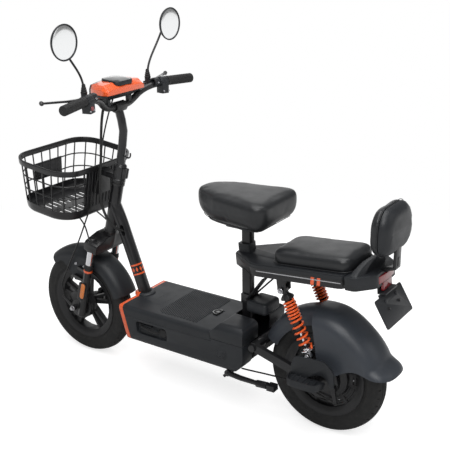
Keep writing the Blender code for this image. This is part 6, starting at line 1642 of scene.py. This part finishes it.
@dataclass
class Cushion:
    """A padded seat, blown up from rings of round-cornered outlines, with a welt round its foot."""

    name: str
    node: str
    place: Matrix
    length: float
    width: float
    height: float
    corners: tuple[float, float]
    levels: tuple[tuple[float, float], ...]
    nose: float = 0.0
    crown: float = 0.004

    def ring(self, inset: float, height: float) -> list[Point]:
        """One outline of the cushion.

        Args:
            inset: How far inside the widest outline it runs.
            height: Its height over the foot.

        Returns:
            The ring's points in the cushion's frame.
        """
        a, b = self.length / 2 - inset, self.width / 2 - inset
        points = []
        for sx, sy, start, radius in ((1, 1, 0, self.corners[1]), (-1, 1, 90, self.corners[0]),
                                      (-1, -1, 180, self.corners[0]), (1, -1, 270, self.corners[1])):
            bend = max(radius - inset, 0.006)
            for k in range(9):
                turn = math.radians(start + 90 * k / 8)
                x = sx * (a - bend) + bend * math.cos(turn)
                y = sy * (b - bend) + bend * math.sin(turn)
                points.append((x, y * (1.0 - self.nose * ramp(-x / self.length, -0.25, 0.5)), height))
        return points

    def build(self) -> None:
        """Make the cushion and its welt."""
        rings = [self.ring(inset + 0.0012, self.height * share) for share, inset in self.levels]
        edge = rings[-1]
        for shrink, lift in ((0.94, 0.25), (0.80, 0.60), (0.55, 0.90), (0.25, 1.0)):
            rings.append([(x * shrink, y * shrink, z + self.crown * lift) for x, y, z in edge])
        piece = inflated(lofted(self.name, rings))
        dress(placed(piece, self.place), VINYL, "frame", (self.node,), SOFT)
        self.welt()

    def welt(self) -> None:
        """The thin piping where the cover is drawn over the base."""
        share, inset = self.levels[1]
        ring = [self.place @ Vector(p) for p in self.ring(inset - 0.0006, self.height * share)]
        dress(piped(self.name + "_welt", ring, 0.0011, 3, True), VINYL, "frame", (), SOFT)


def rack_frame() -> Matrix:
    """The rack's frame at the seat post: X runs back along the rails."""
    return Matrix.Translation(at(0.683, 0.0, 0.486)) @ Matrix.Rotation(-RACK_TILT, 4, "Y")


def saddle() -> Cushion:
    """The rider's saddle: a narrow nose, a flat top and a bowl-shaped underside.

    Returns:
        The cushion, ready to build.
    """
    place = Matrix.Translation(at(0.658, 0.0, 0.6203))
    levels = ((0.0, 0.040), (0.10, 0.024), (0.24, 0.011), (0.42, 0.003), (0.62, 0.0), (0.84, 0.0004), (0.94, 0.0035),
              (0.985, 0.0085), (1.0, 0.0150))
    return Cushion("saddle", "seat_cushion", place, 0.296, 0.236, 0.090, (0.105, 0.042), levels, 0.42, 0.005)


def pillion() -> Cushion:
    """The passenger's cushion on the rack.

    Returns:
        The cushion, ready to build.
    """
    place = rack_frame() @ Matrix.Translation((0.263, 0.0, 0.0386))
    levels = ((0.0, 0.007), (0.12, 0.001), (0.36, 0.0), (0.64, 0.0006), (0.84, 0.0030), (0.95, 0.0080), (1.0, 0.0160))
    return Cushion("pillion", "passenger_cushion", place, 0.262, 0.178, 0.040, (0.042, 0.036), levels)


@dataclass
class Backrest:
    """The backrest's padded front and the welt along its seam."""

    middle: Point = (1.150, 0.0, 0.6865)
    half: float = 0.098
    tall: float = 0.141

    def outline(self, inset: float, x: float) -> list[Point]:
        """The backrest's outline at a distance along X, narrower at the top.

        Args:
            inset: How far inside the widest outline it runs.
            x: The distance.

        Returns:
            The ring's points.
        """
        flat = box_outline(2 * self.half - 2 * inset, self.tall - 2 * inset, 0.052 - 0.4 * inset, steps=8)
        return [(x, y * (1.0 - 0.10 * (z + self.tall / 2) / self.tall), z) for y, z in flat]

    def build(self) -> None:
        """Make the pad and the seam's welt."""
        place = Matrix.Translation(at(*self.middle))
        turns = [k / 8 * math.pi / 2 for k in range(9)]
        rings = [self.outline(0.0008 + 0.026 * (1 - math.cos(turn)) ** 1.3, -0.0008 - 0.028 * math.sin(turn))
                 for turn in turns]
        rings.append([(x - 0.0006, y * 0.5, z * 0.5) for x, y, z in rings[-1]])
        pad = inflated(lofted("backrest_cushion", rings))
        dress(placed(pad, place), VINYL, "frame", ("backrest_pad",), SOFT)
        welt = piped("backrest_welt", [place @ Vector(p) for p in self.outline(0.0004, -0.0012)], 0.0010, 3, True)
        dress(welt, VINYL, "frame", (), SOFT)


@dataclass
class DeckDetails:
    """The lid with its ribs, latch and the painted shade of its grooves, the side vents and the carrying handle.

    Places along X are measured from the front axle.
    """

    top: float = 0.282
    mat_start: float = 0.396
    mat_end: float = 0.549
    mat_half: float = 0.100
    slant: float = math.radians(-33)
    pitch: float = 0.0122
    rib_half: float = 0.0019
    rib_least: float = 0.012
    latch_x: float = 0.568
    grooves: tuple[float, float] = (0.333, 0.371)
    handle_ends: tuple[float, float] = (0.334, 0.406)

    def build(self) -> None:
        """Make each detail."""
        self.lid()
        self.latch()
        self.ribs()
        self.lines()
        self.vent()
        self.handle()

    def lid(self) -> None:
        """The lid, with its coarse grooves levelled where the fine ribs lie."""
        lid = softened_copy("deck_lid", "deck_lid_top", 0.00001, 1)
        for vertex in lid.data.vertices:
            ahead, below = vertex.co.x - AXLE_X, vertex.co.z - self.top
            if 0.300 < ahead < self.mat_end and abs(vertex.co.y) < 0.106 and -0.0016 < below < 0.0002:
                vertex.co.z = self.top
        outward(lid, 0.00005)
        applied(lid, "DECIMATE", decimate_type="DISSOLVE", angle_limit=math.radians(1.0))
        dress(rounded(lid, 0.0035, 3), DECK, "deck_lid", ("deck_lid",), None)

    def moon(self, radius: float) -> Profile:
        """A half disc's outline that bulges to the front, where the latch is.

        Args:
            radius: The disc's radius.

        Returns:
            The outline's points.
        """
        middle = self.latch_x + AXLE_X
        turns = [math.pi * k / 16 for k in range(17)]
        arc = [(middle - radius * math.sin(turn), radius * math.cos(turn)) for turn in turns]
        return arc + [(middle + 0.3 * radius, -radius), (middle + 0.3 * radius, radius)]

    def latch(self) -> None:
        """The latch's half-moon rim and the button in it."""
        rim = extruded("latch_rim", self.moon(0.0195), self.top + 0.0006, self.top + 0.0040, "Z", 0.0010)
        carved(rim, [extruded("latch_well", self.moon(0.0150), self.top + 0.0014, self.top + 0.01, "Z")])
        button = lathe("latch_button", [(0.0, 0.0), (0.0095, 0.0), (0.0095, 0.0022), (0.0080, 0.0034), (0.0, 0.0038)],
                       (self.latch_x - 0.002 + AXLE_X, 0.0, self.top), "Z", 40)
        dress(joined("latch_grip", [rim, button]), PANE, "lid_latch", (), CRISP)

    def ribs(self) -> None:
        """Slanted ribs, each cut to its length between the mat's edges."""
        dx, dy = math.cos(self.slant), math.sin(self.slant)
        ribs = []
        for k in range(-13, 26):
            start = self.mat_start + self.pitch * k
            low, high = sorted((self.mat_half / dy, -self.mat_half / dy))
            low, high = max(low, (self.mat_start - start) / dx), min(high, (self.mat_end - start) / dx)
            if high - low < self.rib_least:
                continue
            bar = block(f"rib_{k}", (low, -self.rib_half, -0.0010), (high, self.rib_half, 0.0019), 0.0010, 1)
            place = Matrix.Translation(at(start, 0.004, self.top)) @ Matrix.Rotation(self.slant, 4, "Z")
            ribs.append(placed(bar, place))
        dress(joined("mat_ribs", ribs), DECK, "deck_lid", (), CRISP)

    def lines(self) -> None:
        """The two short grooves ahead of the mat, as dark strips of painted shade where the grooves' shade falls."""
        for k, x in enumerate(self.grooves):
            low, high = at(x - 0.0010, -0.028, self.top - 0.001), at(x + 0.0010, 0.040, self.top + 0.0003)
            # Painted shade: a dark strip lies flat on the lid where a groove's shade falls.
            line = block(f"lid_groove_{k}", tuple(low), tuple(high), 0.0)
            dress(line, CABLE, "deck_lid", (), CRISP)

    def vent(self) -> None:
        """The round plug on each side of the deck, with the raised arc round it."""
        for side in Side:
            face = touched("deck_tray", at(0.655, 0.3 * side.value, 0.214), -side.out)
            rings = [(0.0, -0.001), (0.0150, -0.001), (0.0150, 0.0008), (0.0142, 0.0014), (0.0125, 0.0014),
                     (0.0118, 0.0007), (0.0108, 0.0007), (0.0100, 0.0016), (0.0, 0.0018)]
            plug = lathe("vent_" + side.word, rings, (0, 0, 0), "Z", 64)
            placed(plug, along(face, side.out))
            turns = [math.radians(a) for a in range(-60, 61, 6)]
            arc = [face + Vector((0.0205 * math.cos(a), 0.0006 * side.value, 0.0205 * math.sin(a))) for a in turns]
            both = joined("vent_plug_" + side.word, [plug, piped("arc", arc, 0.0014, 3)])
            dress(both, DECK, "frame", (), CRISP)

    def handle(self) -> None:
        """The grab handle in the left side's recess."""
        x0, x1 = self.handle_ends
        y = touched("deck_tray", at(0.37, -0.3, 0.222), Side.RIGHT.out).y
        path = [at(x0, y + 0.002, 0.221), at(x0 + 0.006, y - 0.0055, 0.2205), at(x0 + 0.02, y - 0.0060, 0.2190),
                at(x1 - 0.02, y - 0.0060, 0.2130), at(x1 - 0.006, y - 0.0055, 0.2115), at(x1, y + 0.002, 0.2110)]
        bar = piped("recess_handle", eased(path, 3), 0.0036, 5)
        dress(bar, GRIP, "frame", (), EVEN)


@dataclass
class Shock:
    """A rear shock: its orange coil, chromed rod, bright clevis and rubber bump stop."""

    side: Side
    top: Point = (0.861, 0.083, 0.468)
    eye: Point = (0.949, 0.083, 0.277)
    head: float = 0.033
    stroke: float = 0.0315

    def spot(self, place: Point, out: float = 0.0) -> Vector:
        """A place on this shock's side, moved out sideways."""
        return at(place[0], (place[1] + out) * self.side.value, place[2])

    def build(self) -> None:
        """Make the spring, the rod, the eyes' bushes and bolts."""
        word = self.side.word
        top, eye = self.spot(self.top), self.spot(self.eye)
        here = Matrix.Translation(top) @ Matrix.Rotation(-math.atan2(eye.x - top.x, top.z - eye.z), 4, "Y")
        length = math.hypot(self.eye[0] - self.top[0], self.top[2] - self.eye[2])
        self.coil(here, length)
        seat = -length + 0.020
        rod = [(0.0, -length), (0.0080, -length), (0.0100, seat - 0.0120), (0.0195, seat - 0.0062),
               (0.0209, seat - 0.0040), (0.0207, seat - 0.0012), (0.0190, seat - 0.0003), (0.0124, seat - 0.0003),
               (0.0124, seat + 0.0038), (0.0100, seat + 0.0050), (0.0050, seat + 0.0062), (0.0050, -length + 0.1245),
               (0.0, -length + 0.1245)]
        shaft = lathe("rod", rod, (0, 0, 0), "Z", 64)
        bush = lathe("bush", two_sided([(0.0048, 0.0117), (0.0100, 0.0117), (0.0105, 0.0108)]), (0, 0, -length), "Y",
                     48, True)
        piece = placed(joined("shock_shaft_" + word, [shaft, bush]), here)
        dress(piece, CHROME, "shock_rod_" + word, ("shock_rod_" + word,), CRISP)
        rubber = [(0.0052, seat + 0.0064), (0.0084, seat + 0.0066), (0.0088, seat + 0.0092), (0.0074, seat + 0.0112),
                  (0.0052, seat + 0.0118)]
        stop = lathe("bump_stop_" + word, rubber, (0, 0, 0), "Z", 48, True)
        dress(placed(stop, here), GRIP, "shock_rod_" + word, ())
        fastener("shock_bolt_" + word, here.translation + 0.0225 * self.side.out, self.side.out, 0.011, "frame")
        fastener("shock_nut_" + word, self.spot(self.eye, 0.0166), self.side.out, 0.010, "swingarm")

    def coil(self, here: Matrix, length: float) -> None:
        """The orange coil, copied from the frame's spring and smoothed.

        Args:
            here: The shock's frame at its top pivot: Z runs up along it. Not used.
            length: From pivot to pivot. Not used.
        """
        word = self.side.word
        coil = softened_copy("shock_spring_" + word, "spring_" + word, 0.00001, 1)
        applied(outward(coil), "SUBSURF", levels=1, render_levels=1)
        dress(coil, COIL, "shock_body_" + word, ("shock_spring_" + word,), SOFT)
        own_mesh(coil)


@dataclass
class RearDetails:
    """The rails' painted highlight strips, the orange bands, the tail light, the case behind the post and the plate's
    bolts.
    """

    lozenges: int = 10
    plate_lean: float = math.radians(31)

    def build(self) -> None:
        """Make each detail."""
        for side in Side:
            self.rail(side)
        self.light()
        self.lobe()
        self.tube_bands()
        self.plate_bolts()

    def rail(self, side: Side) -> None:
        """A bright zinc strip along a rail's outer face, a painted highlight of the rail's rounded top edge, and two
        slanted orange bands on it.

        Args:
            side: The rail's side.
        """
        here = rack_frame()
        y = 0.1031 * side.value
        # Painted highlight: the zinc strip stands where the rail's rounded top edge catches the light.
        strip = block("rail_line_" + side.word, (0.095, y - 0.0005, 0.0158), (0.372, y + 0.0005, 0.0186), 0.0003, 1)
        dress(placed(strip, here), ZINC, "frame", (), CRISP)
        bands = []
        for x in (0.276, 0.296):
            low, high = sorted((y - 0.0020 * side.value, y + 0.0004 * side.value))
            slanted = [(x, 0.0012), (x + 0.0105, 0.0012), (x + 0.0135, 0.0238), (x + 0.003, 0.0238)]
            bands.append(extruded("band", slanted, low, high, "Y"))
        dress(placed(joined("rail_bands_" + side.word, bands), here), ORANGE, "frame", (), CRISP)

    def lobe(self) -> None:
        """The rounded case behind the seat post."""
        low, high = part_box("controller")
        case = block("controller_case", tuple(low), tuple(high), 0.0130, 6)
        dress(case, DECK, "frame", ("controller",))

    def light(self) -> None:
        """The tail light with its rounded lens."""
        lens = softened_copy("tail_light", "tail_lens", 0.0022, 3)
        dress(lens, RED_LENS, "frame", ("tail_light",), 45.0)

    def tube_bands(self) -> None:
        """Two orange rings round the down tube, with a row of small lozenges between them."""
        top, deck = at(0.194, 0.0, 0.472), at(0.261, 0.0, 0.292)
        marks = [lathe(f"ring_{k}", [(0.0205, t), (0.0214, t), (0.0214, t + 0.0055), (0.0205, t + 0.0055)],
                       (0, 0, 0), "Z", 72, True) for k, t in enumerate((0.098, 0.130))]
        lozenge = [(-0.0042, 0.1168), (0.0, 0.1085), (0.0042, 0.1168), (0.0, 0.1250)]
        for k in range(self.lozenges):
            mark = extruded(f"mark_{k}", lozenge, 0.0200, 0.0213, "X")
            marks.append(placed(mark, Matrix.Rotation(2 * math.pi * k / self.lozenges, 4, "Z")))
        move = along(top, deck - top)
        dress(placed(joined("tube_rings", marks), move), ORANGE, "frame", (), CRISP)

    def plate_bolts(self) -> None:
        """The two dark bolts that hold the plate."""
        for k, y in enumerate((-0.034, 0.034)):
            face = touched("rear_plate", at(1.30, y, 0.462), (-1, 0, 0))
            way = (math.cos(self.plate_lean), 0, math.sin(self.plate_lean))
            fastener(f"plate_bolt_{k}", face, way, 0.007, "frame", CAST)


CABLES = (
    Cable("control_cables", "steering", 0.0045,
          ((0.158, -0.028, 0.9355), (0.146, -0.034, 0.890), (0.136, -0.034, 0.820), (0.132, -0.036, 0.740),
           (0.128, -0.044, 0.670), (0.134, -0.054, 0.600), (0.156, -0.054, 0.545), (0.182, -0.040, 0.508),
           (0.193, -0.0120, 0.494)), ("frame", (0.131, -0.050, 0.640), (0.182, -0.040, 0.508))),
    Cable("front_brake_cable", "steering", 0.0025,
          ((0.150, 0.020, 0.9360), (0.134, 0.008, 0.880), (0.122, -0.012, 0.800), (0.116, -0.030, 0.700),
           (0.104, -0.052, 0.610), (0.078, -0.070, 0.530), (0.040, -0.070, 0.450), (-0.012, -0.060, 0.370),
           (-0.058, -0.0565, 0.290), (-0.0780, -0.0560, 0.2540), (-0.0680, -0.0560, 0.2140))),
    Cable("rear_brake_cable", "swingarm", 0.0025,
          ((0.700, -0.066, 0.150), (0.730, -0.068, 0.153), (0.790, -0.067, 0.158), (0.850, -0.0645, 0.160),
           (0.917, -0.0635, 0.160), (1.0222, -0.0635, 0.1294))),
)


@dataclass
class Studio:
    """The pale floor, the soft lamps and the camera at the photograph's viewing angle."""

    eye: Point = (2.056 + AXLE_X, -2.116, 1.512)
    aim: Point = (0.598 + AXLE_X, 0.0, 0.589)
    roll: float = math.radians(0.8306)
    lens: float = 70.59
    floor_size: float = 60.0
    floor_lift: float = 0.70

    def build(self) -> None:
        """Set the floor, the lamps, the world and the camera."""
        self.floor()
        self.world()
        lamps = (("key", (1.3, -2.0, 2.9), 2.0, 62.0), ("front", (-2.8, -0.6, 1.9), 2.0, 6.0),
                 ("top", (0.2, 0.0, 3.0), 2.2, 50.0), ("back", (-1.6, 2.5, 1.9), 2.2, 13.0),
                 ("rear", (2.9, 0.9, 2.0), 1.8, 8.0))
        for name, place, size, power in lamps:
            self.lamp(name, place, size, power)
        self.camera()
        bpy.context.scene.view_settings.view_transform = "Standard"

    def floor(self) -> None:
        """Lay a plain pale floor, which the camera sees as white."""
        deselect()
        bpy.ops.mesh.primitive_plane_add(size=self.floor_size, location=(0, 0, -0.0005))
        floor = named("floor")
        material = bpy.data.materials.new("floor_white")
        material.use_nodes = True
        self.glow(Nodes(material.node_tree))
        floor.data.materials.append(material)

    def glow(self, nodes: Nodes) -> None:
        """Lift the floor to plain white where the camera sees it, and fade it into the surround.

        Args:
            nodes: The floor's nodes.
        """
        shader, out = nodes.tree.nodes["Principled BSDF"], nodes.tree.nodes["Material Output"]
        nodes.feed(shader, {"Base Color": (0.62, 0.62, 0.62, 1.0), "Roughness": 0.80, "Specular IOR Level": 0.0})
        seen = nodes.add("LightPath").outputs["Is Camera Ray"]
        lift = nodes.add("Math", {0: seen, 1: self.floor_lift}, operation="MULTIPLY")
        shine = nodes.add("Emission", {"Strength": lift.outputs[0]})
        lit = nodes.add("AddShader", {0: shader.outputs[0], 1: shine.outputs[0]})
        reach = nodes.add("VectorMath", {0: nodes.add("TexCoord").outputs["Object"]}, operation="LENGTH")
        fade = nodes.add("MapRange", {"From Min": 1.1, "From Max": 2.2, "Value": reach.outputs["Value"]},
                         interpolation_type="SMOOTHSTEP")
        plain = nodes.add("Emission", {"Strength": 1.0})
        mix = nodes.add("MixShader", {"Fac": fade.outputs["Result"], 1: lit.outputs[0], 2: plain.outputs[0]})
        nodes.feed(out, {"Surface": mix.outputs[0]})

    def world(self) -> None:
        """Surround the scooter with a soft white that the camera sees as plain white."""
        world = bpy.data.worlds.new("surround")
        bpy.context.scene.world = world
        world.use_nodes = True
        nodes = Nodes(world.node_tree)
        nodes.tree.nodes.clear()
        path = nodes.add("LightPath").outputs
        seen = nodes.add("Math", {0: path["Is Camera Ray"], 1: path["Is Transmission Ray"]}, operation="MAXIMUM")
        strength = nodes.add("MapRange", {"To Min": 0.22, "To Max": 1.0, "Value": seen.outputs[0]})
        glow = nodes.add("Background", {"Color": (1.0, 1.0, 1.0, 1.0), "Strength": strength.outputs["Result"]})
        nodes.add("OutputWorld", {"Surface": glow.outputs[0]})

    def lamp(self, name: str, place: Point, size: float, power: float) -> None:
        """A soft square lamp that faces the scooter.

        Args:
            name: Its name.
            place: Where it hangs.
            size: Its side.
            power: Its power in watts.
        """
        deselect()
        bpy.ops.object.light_add(type="AREA", location=place)
        lamp = bpy.context.object
        lamp.name = "lamp_" + name
        lamp.data.shape = "SQUARE"
        lamp.data.size = size
        lamp.data.energy = power
        lamp.rotation_euler = (Vector((0, 0, 0.45)) - Vector(place)).to_track_quat("-Z", "Y").to_euler()

    def camera(self) -> None:
        """The camera, aimed and rolled as the photograph's was."""
        deselect()
        bpy.ops.object.camera_add(location=self.eye)
        camera = bpy.context.object
        way = (Vector(self.aim) - Vector(self.eye)).to_track_quat("-Z", "Y").to_matrix().to_4x4()
        camera.matrix_world = Matrix.Translation(self.eye) @ way @ Matrix.Rotation(-self.roll, 4, "Z")
        camera.data.sensor_width = 36.0
        camera.data.lens = self.lens
        bpy.context.scene.camera = camera


def main() -> None:
    """Load the frame, build every sub-assembly and finish."""
    logging.basicConfig(level=logging.INFO, format="%(name)s: %(message)s")
    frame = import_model()
    deselect()
    axle = at(0.0, 0.0, AXLE_Z)
    rear = at(WHEELBASE, 0.0, AXLE_Z)
    parts = [Studio(), FrameFinishes(frame["nodes"]), *CABLES, RoundedSolids(),
             Tyre("front_tyre", "front_wheel", axle), Tyre("rear_tyre", "rear_wheel", rear),
             RearMotor(), Fork(), FrontFender(), RearFender(), Basket(), Handlebar(), Cowl(),
             Mirror(Side.LEFT), Mirror(Side.RIGHT), saddle(), pillion(), Backrest(), DeckDetails(),
             Shock(Side.LEFT), Shock(Side.RIGHT), RearDetails()]
    for part in parts:
        part.build()
        log.info("%s is done", type(part).__name__)


if __name__ == "__main__":
    main()
